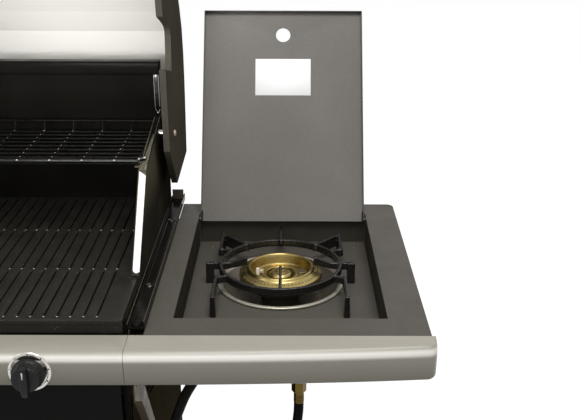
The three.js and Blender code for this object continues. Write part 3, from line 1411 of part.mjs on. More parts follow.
function hose() {
  const start = new THREE.Vector3(FITTING_X, FITTING_Y, FERRULE_FOOT - GAP);
  const points = HOSE_ROUTE.map((offset) => new THREE.Vector3(...offset).add(start));
  points[points.length - 1].set(...outletEnd(GAP));
  const route = new THREE.CatmullRomCurve3(points);
  const section = new THREE.Shape();
  section.absarc(0, 0, HOSE_WIDTH / 2, 0, 2 * Math.PI, false);
  const settings = {
    steps: HOSE_STEPS,
    curveSegments: HOSE_ARC_STEPS,
    extrudePath: route,
    bevelEnabled: false,
  };
  return solidFrom(new THREE.ExtrudeGeometry(section, settings));
}

place('burner_bowl', burnerBowl(), 0x888178, steel);
place('wok_burner_base', burnerBase(), 0x4a4742, iron);
place('wok_burner_ring', burnerRing(), 0xb9a66b, brass);
place('wok_burner_hub', burnerHub(), 0xb9a66b, brass);
const trivetMesh = place('trivet', trivet(), 0x2a2a2b, iron);
trivetMesh.position.set(BURNER_X, BURNER_Y, 0);
place('gas_fitting', gasFitting(), 0xa88c4c, brass);
const hoseMesh = place('gas_hose', hose(), 0x0d0a06, rubber);

// ---- Frame: the middle of the box without the hose, and the ground --------------------------------
root.updateMatrixWorld(true);
const box = new THREE.Box3();
root.traverse((piece) => {
  if (piece.isMesh && piece !== hoseMesh) box.expandByObject(piece, true);
});
const middle = box.getCenter(new THREE.Vector3());
root.position.set(-middle.x, -middle.y, SHELF_HEIGHT);

export default root;
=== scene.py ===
# %% [markdown]
# # A gas barbecue with a wok burner at its side
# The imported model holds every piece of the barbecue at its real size, and this lesson gives it its looks.
# Blender works in metres here: X runs to the right, Y to the back and Z up, with the ground at zero.

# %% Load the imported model
import math

import bmesh
import bpy
from mathutils import Matrix, Quaternion, Vector


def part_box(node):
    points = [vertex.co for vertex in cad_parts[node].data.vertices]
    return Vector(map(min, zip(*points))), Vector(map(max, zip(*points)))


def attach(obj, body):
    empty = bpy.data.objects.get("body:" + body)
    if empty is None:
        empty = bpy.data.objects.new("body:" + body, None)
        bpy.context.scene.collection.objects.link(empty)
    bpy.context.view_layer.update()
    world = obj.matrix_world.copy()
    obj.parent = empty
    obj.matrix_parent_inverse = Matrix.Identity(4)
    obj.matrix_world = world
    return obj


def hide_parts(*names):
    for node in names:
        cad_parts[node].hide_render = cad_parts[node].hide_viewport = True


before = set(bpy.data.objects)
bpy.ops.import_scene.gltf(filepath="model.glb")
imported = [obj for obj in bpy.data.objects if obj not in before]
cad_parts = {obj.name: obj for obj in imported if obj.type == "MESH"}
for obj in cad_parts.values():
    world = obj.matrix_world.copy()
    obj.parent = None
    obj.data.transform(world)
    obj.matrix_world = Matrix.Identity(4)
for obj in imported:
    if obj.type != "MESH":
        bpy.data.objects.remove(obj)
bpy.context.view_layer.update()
scene = bpy.context.scene
MM = 0.001
SIDES = (("right", 1), ("left", -1))


def add(name, data):
    piece = bpy.data.objects.new(name, data)
    scene.collection.objects.link(piece)
    return piece


# %% [markdown]
# ## Camera
# The view is that of a cook who looks down at the side burner over the front strip, from about a metre and
# a half away.

# %% Set the camera
CAMERA_PLACE = Vector((0.571, -1.3298, 1.450))
CAMERA_PITCH = math.radians(20.93)
CAMERA_YAW = math.radians(0.13)
CAMERA_ROLL = math.radians(0.21)
lens = bpy.data.cameras.new("camera")
lens.lens = 55.86
lens.sensor_width = 36
camera = add("camera", lens)
ahead = Vector((
    math.sin(CAMERA_YAW) * math.cos(CAMERA_PITCH),
    math.cos(CAMERA_YAW) * math.cos(CAMERA_PITCH),
    -math.sin(CAMERA_PITCH),
))
camera.rotation_mode = "QUATERNION"
camera.rotation_quaternion = ahead.to_track_quat("-Z", "Y") @ Quaternion((0, 0, 1), CAMERA_ROLL)
camera.location = CAMERA_PLACE
scene.camera = camera
print("camera looks down by", round(math.degrees(CAMERA_PITCH), 1), "degrees")

# %% [markdown]
# ## Materials start from one helper
# Every finish is a Principled shader, and noise in object space varies its colour, and often its roughness
# and its height as well. Object space is metres here, so a noise scale of 1000 makes grain about a
# millimetre wide.

# %% A helper for finishes
def srgb(red, green, blue):
    def linear(value):
        value /= 255
        return value / 12.92 if value <= 0.04045 else ((value + 0.055) / 1.055) ** 2.4
    return (linear(red), linear(green), linear(blue), 1)


class Finish:
    """A material with a few words for the nodes that most finishes need."""

    def __init__(self, name, color, roughness, metallic=0.0, specular=0.5):
        self.material = bpy.data.materials.new(name)
        self.material.use_nodes = True
        color = srgb(*color)
        self.material.diffuse_color = color
        self.nodes = self.material.node_tree.nodes
        self.links = self.material.node_tree.links
        self.shader = self.nodes["Principled BSDF"]
        self.color = color
        self.place = self.nodes.new("ShaderNodeTexCoord").outputs["Object"]
        self.tint = None
        self.set(**{"Metallic": metallic, "Roughness": roughness, "Base Color": color,
                    "Specular IOR Level": specular})

    def set(self, **values):
        for name, value in values.items():
            self.shader.inputs[name].default_value = value

    def stretched(self, scale):
        mapping = self.nodes.new("ShaderNodeMapping")
        mapping.inputs["Scale"].default_value = scale
        self.links.new(self.place, mapping.inputs["Vector"])
        return mapping.outputs["Vector"]

    def noise(self, scale, detail=3, stretch=None):
        node = self.nodes.new("ShaderNodeTexNoise")
        node.inputs["Scale"].default_value = scale
        node.inputs["Detail"].default_value = detail
        self.links.new(self.stretched(stretch) if stretch else self.place, node.inputs["Vector"])
        return node.outputs["Fac"]

    def height_above_ground(self):
        apart = self.nodes.new("ShaderNodeSeparateXYZ")
        self.links.new(self.place, apart.inputs[0])
        return apart.outputs["Z"]

    def band(self, low, full_low, full_high, high):
        """One between two heights in metres, fading to zero below and above them."""
        rise, fall = [
            self.ranged(self.height_above_ground(), *ends, 0, 1, smooth=True)
            for ends in ((low, full_low), (high, full_high))
        ]
        both = self.nodes.new("ShaderNodeMath")
        both.operation = "MULTIPLY"
        self.links.new(rise, both.inputs[0])
        self.links.new(fall, both.inputs[1])
        return both.outputs["Value"]

    def ranged(self, value, low, high, to_low, to_high, smooth=False):
        node = self.nodes.new("ShaderNodeMapRange")
        node.interpolation_type = "SMOOTHSTEP" if smooth else "LINEAR"
        for name, number in zip(("From Min", "From Max", "To Min", "To Max"), (low, high, to_low, to_high)):
            node.inputs[name].default_value = number
        self.links.new(value, node.inputs["Value"])
        return node.outputs["Result"]

    def mottle(self, scale, amount, detail=4, stretch=None):
        """Lets the colour drift lighter and darker by a share."""
        share = self.ranged(self.noise(scale, detail, stretch), 0.3, 0.7, 1 - amount, 1 + amount)
        node = self.nodes.new("ShaderNodeVectorMath")
        node.operation = "SCALE"
        self.links.new(share, node.inputs["Scale"])
        return self.recolor(node.inputs[0], self.color[:3], node.outputs["Vector"])

    def recolor(self, inlet, first_color, outlet):
        """Puts a node between the colour so far and the shader."""
        if self.tint is None:
            inlet.default_value = first_color
        else:
            self.links.new(self.tint, inlet)
        self.tint = outlet
        self.links.new(outlet, self.shader.inputs["Base Color"])
        return self

    def stain(self, color, value, low, high, strength):
        """Mixes in another colour as a value runs from low to high."""
        node = self.nodes.new("ShaderNodeMix")
        node.data_type = "RGBA"
        node.inputs["B"].default_value = srgb(*color)
        self.links.new(self.ranged(value, low, high, 0, strength), node.inputs["Factor"])
        return self.recolor(node.inputs["A"], self.color, node.outputs["Result"])

    def blotch(self, color, scale, detail, low, high, strength):
        """Mixes in another colour where noise is high."""
        return self.stain(color, self.noise(scale, detail), low, high, strength)

    def vary_roughness(self, scale, low, high):
        value = self.ranged(self.noise(scale), 0.3, 0.7, low, high)
        self.links.new(value, self.shader.inputs["Roughness"])
        return self

    def bump(self, value, depth):
        """Raises the surface by a depth in millimetres where the value is high."""
        node = self.nodes.new("ShaderNodeBump")
        node.inputs["Distance"].default_value = depth * MM
        self.links.new(value, node.inputs["Height"])
        self.links.new(node.outputs["Normal"], self.shader.inputs["Normal"])
        return self

    def grain(self, scale, detail, depth):
        """Raises the surface where noise is high."""
        return self.bump(self.noise(scale, detail), depth)

    def brushed(self, scale, stretch, low, high, depth):
        """Fine parallel lines, as brushed or rolled sheet has."""
        lines = self.noise(scale, 5, stretch)
        self.links.new(self.ranged(lines, 0.3, 0.7, low, high), self.shader.inputs["Roughness"])
        return self.bump(lines, depth)


print("a finish has colour drift, roughness drift and bump")

# %% [markdown]
# ## The hose comes first
# A rubber gas hose leaves the brass union under the wok burner, hangs in a loop and goes back up to the
# elbow of the gas pipe behind the front strip. Its route is a list of places in millimetres from the union,
# joined by a Catmull-Rom curve: each stretch is a cubic that passes through its two ends and leans on their
# neighbours. The elbow leans towards the hose, so that the hose needs no tight bend.

# %% Rubber
rubber = Finish("hose_rubber", (12, 11, 8), roughness=0.55, specular=0.04)
rubber.mottle(60, 0.3).vary_roughness(90, 0.42, 0.62).grain(700, 4, 0.05)
print(rubber.material.name)

# %% Lay the hose along its route
HOSE_WIDTH = 14 * MM
UNION_X = 0.587
UNION_Y = -0.233796
ELBOW_Y = -0.283796
ELBOW_Z = 0.832
ELBOW_INSET = 8 * MM
union_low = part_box("gas_fitting")[0]
pipe_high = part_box("gas_manifold")[1]
HOSE_GAP = 0.3 * MM
HOSE_ROUTE = [
    (0, 0, 0), (-0.5, 0, -16), (-2.5, 0, -36), (-6.5, -0.5, -66), (-15, -1.5, -98),
    (-31, -3, -129), (-57, -5.5, -154), (-88.5, -9, -166), (-122, -13, -163), (-150, -18, -145),
    (-169, -23, -119), (-179, -27.5, -90), (-181, -31, -60), (-177.5, -34.5, -32), (-171, -38, -6),
    (-163.3, -42.5, 17), (-154.6, -47.5, 40), (-144.9, -50, 58.8),
]
ELBOW_LEAN = math.radians(32)
ELBOW_OUTLET = 18 * MM


def catmull_rom(points, steps):
    """Points along a smooth line through the given ones."""
    ends = [2 * points[0] - points[1], *points, 2 * points[-1] - points[-2]]
    line = []
    for before, start, end, after in zip(ends, ends[1:], ends[2:], ends[3:]):
        for step in range(steps):
            t = step / steps
            line.append(0.5 * (
                2 * start
                + (end - before) * t
                + (2 * before - 5 * start + 4 * end - after) * t**2
                + (3 * start - 3 * end + after - before) * t**3
            ))
    return [*line, points[-1]]


def curve_piece(name, paths, width, finish, resolution, closed=False):
    """Round wire, rod or hose along one or more lines of points."""
    data = bpy.data.curves.new(name, "CURVE")
    data.dimensions = "3D"
    data.bevel_depth = width / 2
    data.bevel_resolution = resolution
    data.use_fill_caps = True
    for path in paths:
        spline = data.splines.new("POLY")
        spline.points.add(len(path) - 1)
        for point, place in zip(spline.points, path):
            point.co = (*place, 1)
        spline.use_cyclic_u = closed
        spline.use_smooth = True
    data.materials.append(finish.material)
    return add(name, data)


hose_start = Vector((UNION_X, UNION_Y, union_low.z - HOSE_GAP))
hose_points = [hose_start + Vector(offset) * MM for offset in HOSE_ROUTE]
elbow = Vector((pipe_high.x - ELBOW_INSET, ELBOW_Y, ELBOW_Z))
outlet = elbow - Vector((math.sin(ELBOW_LEAN), 0, math.cos(ELBOW_LEAN))) * (ELBOW_OUTLET + HOSE_GAP)
hose_line = catmull_rom([*hose_points, outlet], 6)
hose = curve_piece("hose", [hose_line], HOSE_WIDTH, rubber, resolution=8)
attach(hose, "trolley")
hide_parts("gas_hose")

# %% [markdown]
# ## Light, world and floor
# Four soft boxes stand for a studio: a wide one high over the side burner, a long low one in front of the
# strip, a weaker one at the left, and a small narrow one that reaches the inside of the hood. To the eye
# and to mirrors the world is white, but as light it is dimmer, so colours stay as they are written.

# %% World and colour management
scene.view_settings.view_transform = "Standard"
WORLD_LIGHT = 0.3


def seen_directly(nodes, links):
    """One for rays from the camera, a mirror or glass, and zero for scattered light."""
    path = nodes.new("ShaderNodeLightPath")
    value = path.outputs["Is Camera Ray"]
    for name in ("Is Glossy Ray", "Is Transmission Ray"):
        either = nodes.new("ShaderNodeMath")
        either.operation = "MAXIMUM"
        links.new(value, either.inputs[0])
        links.new(path.outputs[name], either.inputs[1])
        value = either.outputs["Value"]
    return value


world = bpy.data.worlds.new("studio")
world.use_nodes = True
scene.world = world
nodes, links = world.node_tree.nodes, world.node_tree.links
strength = nodes.new("ShaderNodeMapRange")
strength.inputs["To Min"].default_value = WORLD_LIGHT
strength.inputs["To Max"].default_value = 1
links.new(seen_directly(nodes, links), strength.inputs["Value"])
nodes["Background"].inputs["Color"].default_value = (1, 1, 1, 1)
links.new(strength.outputs["Result"], nodes["Background"].inputs["Strength"])
print("world light", WORLD_LIGHT)

# %% Soft boxes
def soft_box(name, place, target, size, power, spread=180):
    data = bpy.data.lights.new(name, "AREA")
    data.shape = "RECTANGLE"
    data.size, data.size_y = size
    data.energy = power
    data.spread = math.radians(spread)
    lamp = add(name, data)
    lamp.location = place
    lamp.rotation_mode = "QUATERNION"
    lamp.rotation_quaternion = (Vector(target) - Vector(place)).to_track_quat("-Z", "Y")
    lamp.visible_camera = False


soft_box("key_light", (0.75, -0.95, 3.5), (0.45, 0, 0.9), (1.6, 1.2), 62)
soft_box("front_light", (0.45, -2.5, 2.45), (0.45, -0.3, 0.86), (2.2, 0.3), 11)
soft_box("fill_light", (-2.4, -1.2, 2.6), (0, 0, 0.9), (1.4, 1.4), 14)
soft_box("hood_light", (0.1, -0.8, 1.28), (0.2, 0.24, 1.3), (0.3, 0.3), 0.8, spread=40)
print("four soft boxes")

# %% A pale floor
FLOOR_REACH = 40
FLOOR_GLOW = 0.87
floor_finish = bpy.data.materials.new("studio_floor")
floor_finish.use_nodes = True
nodes, links = floor_finish.node_tree.nodes, floor_finish.node_tree.links
paper = nodes["Principled BSDF"]
paper.inputs["Base Color"].default_value = (0.4, 0.4, 0.4, 1)
paper.inputs["Roughness"].default_value = 1
paper.inputs["Specular IOR Level"].default_value = 0
glow = nodes.new("ShaderNodeEmission")
glow_strength = nodes.new("ShaderNodeMapRange")
glow_strength.inputs["To Min"].default_value = 0
glow_strength.inputs["To Max"].default_value = FLOOR_GLOW
links.new(seen_directly(nodes, links), glow_strength.inputs["Value"])
links.new(glow_strength.outputs["Result"], glow.inputs["Strength"])
both = nodes.new("ShaderNodeAddShader")
links.new(paper.outputs["BSDF"], both.inputs[0])
links.new(glow.outputs["Emission"], both.inputs[1])
links.new(both.outputs["Shader"], nodes["Material Output"].inputs["Surface"])
bm = bmesh.new()
bmesh.ops.create_grid(bm, x_segments=1, y_segments=1, size=FLOOR_REACH)
floor_mesh = bpy.data.meshes.new("floor")
bm.to_mesh(floor_mesh)
bm.free()
floor_mesh.materials.append(floor_finish)
floor = add("floor", floor_mesh)
floor.location.z = -0.5 * MM
print("floor", 2 * FLOOR_REACH, "m wide")

# %% [markdown]
# ## Enamel, powder coat and metal
# A barbecue is mostly thin steel in four coats: glossy black enamel near the fire, grey powder coat with a
# fine orange peel on the shelves, satin silver paint on the front strip, and bare brushed stainless steel.

# %% Coats
shelf_coat = Finish("shelf_coat", (80, 76, 70), roughness=0.5, specular=0.15)
shelf_coat.mottle(14, 0.05).mottle(420, 0.08).vary_roughness(30, 0.44, 0.58).grain(900, 2, 0.05)

lid_coat = Finish("lid_coat", (113, 110, 105), roughness=0.5, specular=0.15)
lid_coat.mottle(10, 0.04).mottle(420, 0.08).vary_roughness(30, 0.46, 0.6).grain(900, 2, 0.05)

strip_silver = Finish("strip_silver", (156, 151, 139), roughness=0.35)
strip_silver.mottle(1500, 0.07, 1).mottle(8, 0.02).vary_roughness(20, 0.3, 0.38)
strip_silver.mottle(60, 0.02, 4, (0.1, 8, 8))
# Painted highlight: a pale band along the ridge's crown. Painted shade: the face darkens towards its foot.
strip_silver.stain((246, 243, 235), strip_silver.band(0.8535, 0.8600, 0.8625, 0.8682), 0, 1, 0.92)
strip_silver.stain((96, 91, 78), strip_silver.height_above_ground(), 0.855, 0.82, 0.6)
strip_silver.grain(1200, 2, 0.012)
strip_silver.set(**{"Coat Weight": 0.4, "Coat Roughness": 0.3, "Specular IOR Level": 0.2})

fire_enamel = Finish("fire_enamel", (24, 23, 20), roughness=0.18, specular=0.03)
fire_enamel.mottle(18, 0.25).vary_roughness(22, 0.12, 0.26).grain(60, 2, 0.06)

side_enamel = Finish("side_enamel", (54, 51, 44), roughness=0.3, specular=0.0)
side_enamel.mottle(18, 0.2).vary_roughness(22, 0.16, 0.3).grain(60, 2, 0.04)
# Painted light: the end panels' enamel has no gloss and gets lighter towards its upper part, where its glossy
# face would catch light and reflections.
side_enamel.stain((104, 97, 80), side_enamel.band(0.93, 1.01, 1.3, 1.4), 0, 1, 0.85)

gloss_enamel = Finish("gloss_enamel", (22, 21, 19), roughness=0.12)
gloss_enamel.mottle(60, 0.2).vary_roughness(80, 0.08, 0.18).grain(200, 2, 0.03)

tab_coat = Finish("tab_coat", (92, 87, 73), roughness=0.45, specular=0.2)
tab_coat.mottle(90, 0.1).vary_roughness(80, 0.4, 0.55)

# Painted reflection: white for the strip on the end panels' inward flanges.
reflection_white = Finish("reflection_white", (252, 251, 249), roughness=0.4)
reflection_white.mottle(60, 0.01).grain(200, 2, 0.02)

cap_coat = Finish("cap_coat", (88, 83, 74), roughness=0.6, specular=0.0)
cap_coat.mottle(12, 0.08).mottle(300, 0.06).vary_roughness(30, 0.55, 0.7).grain(800, 2, 0.03)

hood_enamel = Finish("hood_enamel", (16, 15, 14), roughness=0.14, specular=0.06)
hood_enamel.mottle(16, 0.2).vary_roughness(14, 0.1, 0.2).grain(45, 2, 0.05)

cabinet_enamel = Finish("cabinet_enamel", (66, 60, 45), roughness=0.45, specular=0.0)
cabinet_enamel.mottle(10, 0.12).vary_roughness(18, 0.4, 0.52).grain(500, 2, 0.02)
cabinet_enamel.blotch((112, 102, 76), 420, 2, 0.56, 0.68, 0.6)

cabinet_coat = Finish("cabinet_coat", (24, 23, 21), roughness=0.5, specular=0.08)
cabinet_coat.mottle(20, 0.12).vary_roughness(40, 0.44, 0.6).grain(700, 2, 0.03)

fire_coat = Finish("fire_coat", (46, 43, 38), metallic=0.3, roughness=0.6, specular=0.1)
fire_coat.mottle(9, 0.25).blotch((74, 58, 40), 26, 5, 0.52, 0.72, 0.6).vary_roughness(30, 0.5, 0.75)
print("thirteen coats")

# %% Metals
hood_steel = Finish("hood_steel", (238, 235, 228), metallic=0.05, roughness=0.6)
hood_steel.mottle(6, 0.02).brushed(60, (1, 30, 30), 0.55, 0.65, 0.006)

bright_steel = Finish("bright_steel", (196, 194, 188), metallic=0.95, roughness=0.2)
bright_steel.mottle(30, 0.05).vary_roughness(60, 0.16, 0.28)

plated_steel = Finish("plated_steel", (108, 99, 80), metallic=0.6, roughness=0.4)
plated_steel.mottle(45, 0.18).vary_roughness(60, 0.3, 0.5).grain(300, 3, 0.02)

bracket_steel = Finish("bracket_steel", (92, 83, 64), metallic=0.3, roughness=0.5, specular=0.1)
bracket_steel.mottle(45, 0.2).vary_roughness(60, 0.42, 0.6)

bolt_steel = Finish("bolt_steel", (196, 184, 156), metallic=0.3, roughness=0.4)
bolt_steel.mottle(120, 0.1).vary_roughness(90, 0.3, 0.5)

# A pale finish for small pips and dots that are painted highlights.
glint_paint = Finish("glint_paint", (206, 202, 192), metallic=0.2, roughness=0.3)
glint_paint.mottle(300, 0.1)

bowl_steel = Finish("bowl_steel", (98, 93, 84), metallic=0.5, roughness=0.32)
bowl_steel.mottle(14, 0.12).blotch((96, 82, 62), 22, 4, 0.5, 0.75, 0.55)
# Painted highlight: a pale band at the height of the bowl's rim.
bowl_steel.stain((190, 184, 168), bowl_steel.height_above_ground(), 0.8145, 0.8165, 0.8)
bowl_steel.vary_roughness(40, 0.26, 0.4)

burner_steel = Finish("burner_steel", (150, 147, 140), metallic=0.9, roughness=0.4)
burner_steel.mottle(20, 0.15).blotch((92, 74, 56), 18, 4, 0.5, 0.7, 0.6)

brass = Finish("brass", (166, 148, 96), metallic=1.0, roughness=0.32)
brass.mottle(40, 0.1).blotch((120, 96, 50), 34, 5, 0.5, 0.75, 0.6).vary_roughness(70, 0.26, 0.38)
brass.grain(260, 3, 0.006)

# A darker copy of the brass for the union and the gas pipe: painted shade for where they sit under the shelf.
shade_darkened_brass = Finish("shade_darkened_brass", (92, 75, 32), metallic=0.9, roughness=0.36)
shade_darkened_brass.mottle(60, 0.2).vary_roughness(80, 0.22, 0.4)

plate_iron = Finish("plate_iron", (38, 37, 33), roughness=0.36, specular=0.12)
plate_iron.mottle(26, 0.2).mottle(500, 0.1).vary_roughness(24, 0.28, 0.46)
plate_iron.blotch((120, 116, 106), 260, 3, 0.66, 0.74, 0.5).grain(420, 3, 0.06)

trivet_iron = Finish("trivet_iron", (26, 25, 23), roughness=0.26, specular=0.35)
trivet_iron.mottle(40, 0.14).mottle(700, 0.1).vary_roughness(60, 0.2, 0.32).grain(520, 3, 0.06)

burner_iron = Finish("burner_iron", (64, 61, 55), metallic=0.5, roughness=0.55)
burner_iron.mottle(50, 0.2).grain(400, 3, 0.15)
print("thirteen metals")

# %% Plastics, ceramic and paper
knob_plastic = Finish("knob_plastic", (24, 24, 24), roughness=0.38, specular=0.2)
knob_plastic.mottle(90, 0.1).vary_roughness(120, 0.32, 0.46).grain(1300, 2, 0.01)

wheel_plastic = Finish("wheel_plastic", (30, 30, 31), roughness=0.5, specular=0.2)
wheel_plastic.mottle(60, 0.12).vary_roughness(70, 0.42, 0.6).grain(600, 3, 0.03)

tyre_rubber = Finish("tyre_rubber", (20, 20, 20), roughness=0.75, specular=0.1)
tyre_rubber.mottle(80, 0.2).grain(500, 4, 0.06)

ceramic = Finish("ceramic", (232, 229, 220), roughness=0.25)
ceramic.mottle(200, 0.03).blotch((170, 150, 120), 160, 3, 0.55, 0.8, 0.5)

label_paper = Finish("label_paper", (254, 254, 253), roughness=0.45)
label_paper.mottle(25, 0.01).grain(120, 2, 0.03)

white_mark = Finish("white_mark", (226, 224, 218), roughness=0.5)
white_mark.mottle(300, 0.05)

# Near black for holes, slots, gaps and recesses drawn as thin dark pieces: painted shade.
hole_shade = Finish("hole_shade", (9, 8, 7), roughness=0.8, specular=0.0)
hole_shade.mottle(200, 0.2)

dial_card = Finish("dial_card", (238, 236, 230), roughness=0.5)
dial_card.mottle(40, 0.02)

dial_ink = Finish("dial_ink", (26, 26, 28), roughness=0.5)
dial_ink.mottle(300, 0.1)

needle_red = Finish("needle_red", (190, 36, 26), roughness=0.4)
needle_red.mottle(300, 0.08)

dial_glass = Finish("dial_glass", (246, 248, 248), roughness=0.03)
dial_glass.set(**{"Transmission Weight": 1.0, "IOR": 1.45})
dial_glass.mottle(60, 0.01)
print("plastics and small finishes")

# %% [markdown]
# ## Tools for shaping
# Four ways of making a piece cover nearly all of this barbecue: pieces turned on an axis, flat plates cut
# to an outline with holes, blanks with soft edges, and lofts through a row of sections.

# %% Shading, ownership and soft edges
def own(piece, body, slot, *replaced):
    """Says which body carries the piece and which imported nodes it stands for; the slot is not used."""
    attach(piece, body)
    if replaced:
        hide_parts(*replaced)
    return piece


def smooth_object(name, bm, material, sharp=32):
    mesh = bpy.data.meshes.new(name)
    bm.to_mesh(mesh)
    bm.free()
    mesh.materials.append(material)
    mesh.shade_smooth()
    mesh.set_sharp_from_angle(angle=math.radians(sharp))
    return add(name, mesh)


def mesh_piece(name, bm, finish, sharp=32):
    bmesh.ops.recalc_face_normals(bm, faces=bm.faces)
    return smooth_object(name, bm, finish.material, sharp)


def merge(name, pieces):
    """Joins pieces of one finish into one object."""
    bm = bmesh.new()
    material = pieces[0].data.materials[0]
    for piece in pieces:
        old = piece.data
        bm.from_mesh(old)
        bpy.data.objects.remove(piece)
        bpy.data.meshes.remove(old)
    return smooth_object(name, bm, material)


def soften(piece, width, segments):
    """Rounds the sharp edges, so that they catch the light."""
    round_over = piece.modifiers.new("round_over", "BEVEL")
    round_over.width = width
    round_over.segments = segments
    round_over.limit_method = "ANGLE"
    round_over.angle_limit = math.radians(35)
    even = piece.modifiers.new("even_shading", "WEIGHTED_NORMAL")
    even.keep_sharp = False
    piece.data.shade_smooth()
    return piece


def dress(node, finish, width, segments):
    """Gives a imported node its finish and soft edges, without moving its corners."""
    return dress_piece(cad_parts[node], finish, width, segments)


def dress_piece(piece, finish, width, segments):
    piece.data.materials.clear()
    piece.data.materials.append(finish.material)
    flat = piece.modifiers.new("flat_faces", "DECIMATE")
    flat.decimate_type = "DISSOLVE"
    flat.angle_limit = math.radians(0.6)
    return soften(piece, width, segments)


print("pieces can be owned, dressed and softened")

# %% Turned pieces
def place_along(place, axis):
    turn = Vector((0, 0, 1)).rotation_difference(Vector(axis))
    return Matrix.Translation(place) @ turn.to_matrix().to_4x4()


def turned_bmesh(profile, steps):
    """Turns (radius, height) points in millimetres about the vertical."""
    bm = bmesh.new()
    rings = []
    for radius, height in profile:
        count = steps if radius > 0 else 1
        angles = [2 * math.pi * step / steps for step in range(count)]
        rings.append([
            bm.verts.new(Vector((radius * math.cos(a), radius * math.sin(a), height)) * MM) for a in angles
        ])
    for lower, upper in zip(rings, rings[1:]):
        for step in range(steps):
            after = step + 1
            corners = [
                lower[step % len(lower)], lower[after % len(lower)],
                upper[after % len(upper)], upper[step % len(upper)],
            ]
            corners = list(dict.fromkeys(corners))
            if len(corners) > 2:
                bm.faces.new(corners)
    return bm


def turned(name, profile, place, finish, axis=(0, 0, 1), steps=96, sharp=32):
    bm = turned_bmesh(profile, steps)
    bmesh.ops.transform(bm, matrix=place_along(place, axis), verts=bm.verts)
    return mesh_piece(name, bm, finish, sharp)


def rounded(points, radius, steps=5, closed=False):
    """Rounds the corners of a line of points off."""
    points = [Vector(point) for point in points]
    result = []
    count = len(points)
    for index, corner in enumerate(points):
        if not closed and index in (0, count - 1):
            result.append(corner)
            continue
        before, after = points[index - 1], points[(index + 1) % count]
        reach = min(radius, (before - corner).length * 0.48, (after - corner).length * 0.48)
        start = corner + (before - corner).normalized() * reach
        end = corner + (after - corner).normalized() * reach
        for step in range(steps + 1):
            t = step / steps
            result.append(start * (1 - t) ** 2 + corner * 2 * t * (1 - t) + end * t**2)
    return result


print("turned pieces have 96 faces round unless told otherwise")

# %% Plates cut to an outline
def circle(x, y, radius, steps):
    return [
        (x + radius * math.cos(2 * math.pi * step / steps), y + radius * math.sin(2 * math.pi * step / steps))
        for step in range(steps)
    ]


def slot_outline(x, start, end, width, steps=8):
    """A slot with round ends that runs along Y."""
    radius = width / 2
    points = []
    for middle, first in ((end - radius, 0), (start + radius, math.pi)):
        for step in range(steps + 1):
            angle = first + math.pi * step / steps
            points.append((x + radius * math.cos(angle), middle + radius * math.sin(angle)))
    return points


def rectangle(x0, x1, y0, y1, radius):
    return rounded([(x0, y0), (x1, y0), (x1, y1), (x0, y1)], radius, closed=True)


def cut_plate(name, outlines, thickness, edge, finish, matrix):
    """A plate from closed outlines in millimetres, where one inside another is a hole."""
    data = bpy.data.curves.new(name, "CURVE")
    data.dimensions = "2D"
    data.fill_mode = "BOTH"
    data.extrude = (thickness / 2 - edge) * MM
    data.bevel_depth = edge * MM
    data.bevel_resolution = 2
    data.offset = -edge * MM
    for line in outlines:
        spline = data.splines.new("POLY")
        spline.points.add(len(line) - 1)
        for point, place in zip(spline.points, line):
            point.co = (place[0] * MM, place[1] * MM, 0, 1)
        spline.use_cyclic_u = True
    drawn = add(name, data)
    depsgraph = bpy.context.evaluated_depsgraph_get()
    mesh = bpy.data.meshes.new_from_object(drawn.evaluated_get(depsgraph))
    bpy.data.objects.remove(drawn)
    bpy.data.curves.remove(data)
    mesh.transform(matrix)
    bm = bmesh.new()
    bm.from_mesh(mesh)
    bpy.data.meshes.remove(mesh)
    bmesh.ops.remove_doubles(bm, verts=bm.verts, dist=0.01 * MM)
    return mesh_piece(name, bm, finish)


print("plates are cut flat, then turned into place")

# %% Blanks, lofts and rods
def blank(name, low, high, finish, edge, segments=3):
    """A block between two corners, with rounded edges."""
    low, high = Vector(low), Vector(high)
    bm = bmesh.new()
    bmesh.ops.create_cube(bm, size=1)
    for vertex in bm.verts:
        vertex.co = Vector(a + (b - a) * (c + 0.5) for a, b, c in zip(low, high, vertex.co))
    edges = list(bm.edges)
    bmesh.ops.bevel(bm, geom=edges, offset=edge, segments=segments, affect="EDGES", profile=0.5)
    return mesh_piece(name, bm, finish, 60)


def join_rings(bm, ring, after):
    """Faces between two closed lines with as many points each."""
    return [
        bm.faces.new(corners)
        for corners in zip(ring, [*ring[1:], ring[0]], [*after[1:], after[0]], after)
    ]


def loft(name, sections, finish, sharp):
    """A skin with closed ends through a row of sections with as many points each."""
    bm = bmesh.new()
    rings = [[bm.verts.new(point) for point in section] for section in sections]
    for ring, after in zip(rings, rings[1:]):
        join_rings(bm, ring, after)
    bm.faces.new(rings[0])
    bm.faces.new(list(reversed(rings[-1])))
    return mesh_piece(name, bm, finish, sharp)


def prism(bm, lower, upper):
    """A solid between two outlines with as many points each."""
    below, above = ([bm.verts.new(point) for point in outline] for outline in (lower, upper))
    faces = [bm.faces.new(list(reversed(below))), bm.faces.new(above), *join_rings(bm, below, above)]
    bmesh.ops.recalc_face_normals(bm, faces=faces)


def rod(name, start, end, width, finish, steps=24, edge=0.5):
    """A round bar between two points, with its ends broken; the width and edge are in millimetres."""
    start, end = Vector(start), Vector(end)
    length = (end - start).length / MM
    radius = width / 2
    profile = [
        (0, 0), (radius - edge, 0), (radius, edge),
        (radius, length - edge), (radius - edge, length), (0, length),
    ]
    return turned(name, profile, start, finish, axis=end - start, steps=steps)


print("shaping tools ready")

# %% [markdown]
# ## A bench mark
# Most sizes on a side shelf are measured from the front edge of the burner's well and the top of the shelf,
# so places are given in millimetres from there, with X from the middle of the barbecue.

# %% The bench mark
shelf_low, shelf_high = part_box("shelf_right")
WELL_BEHIND_SHELF_FRONT = 48
BENCH = Vector((0, shelf_low[1] + WELL_BEHIND_SHELF_FRONT * MM, shelf_high[2]))


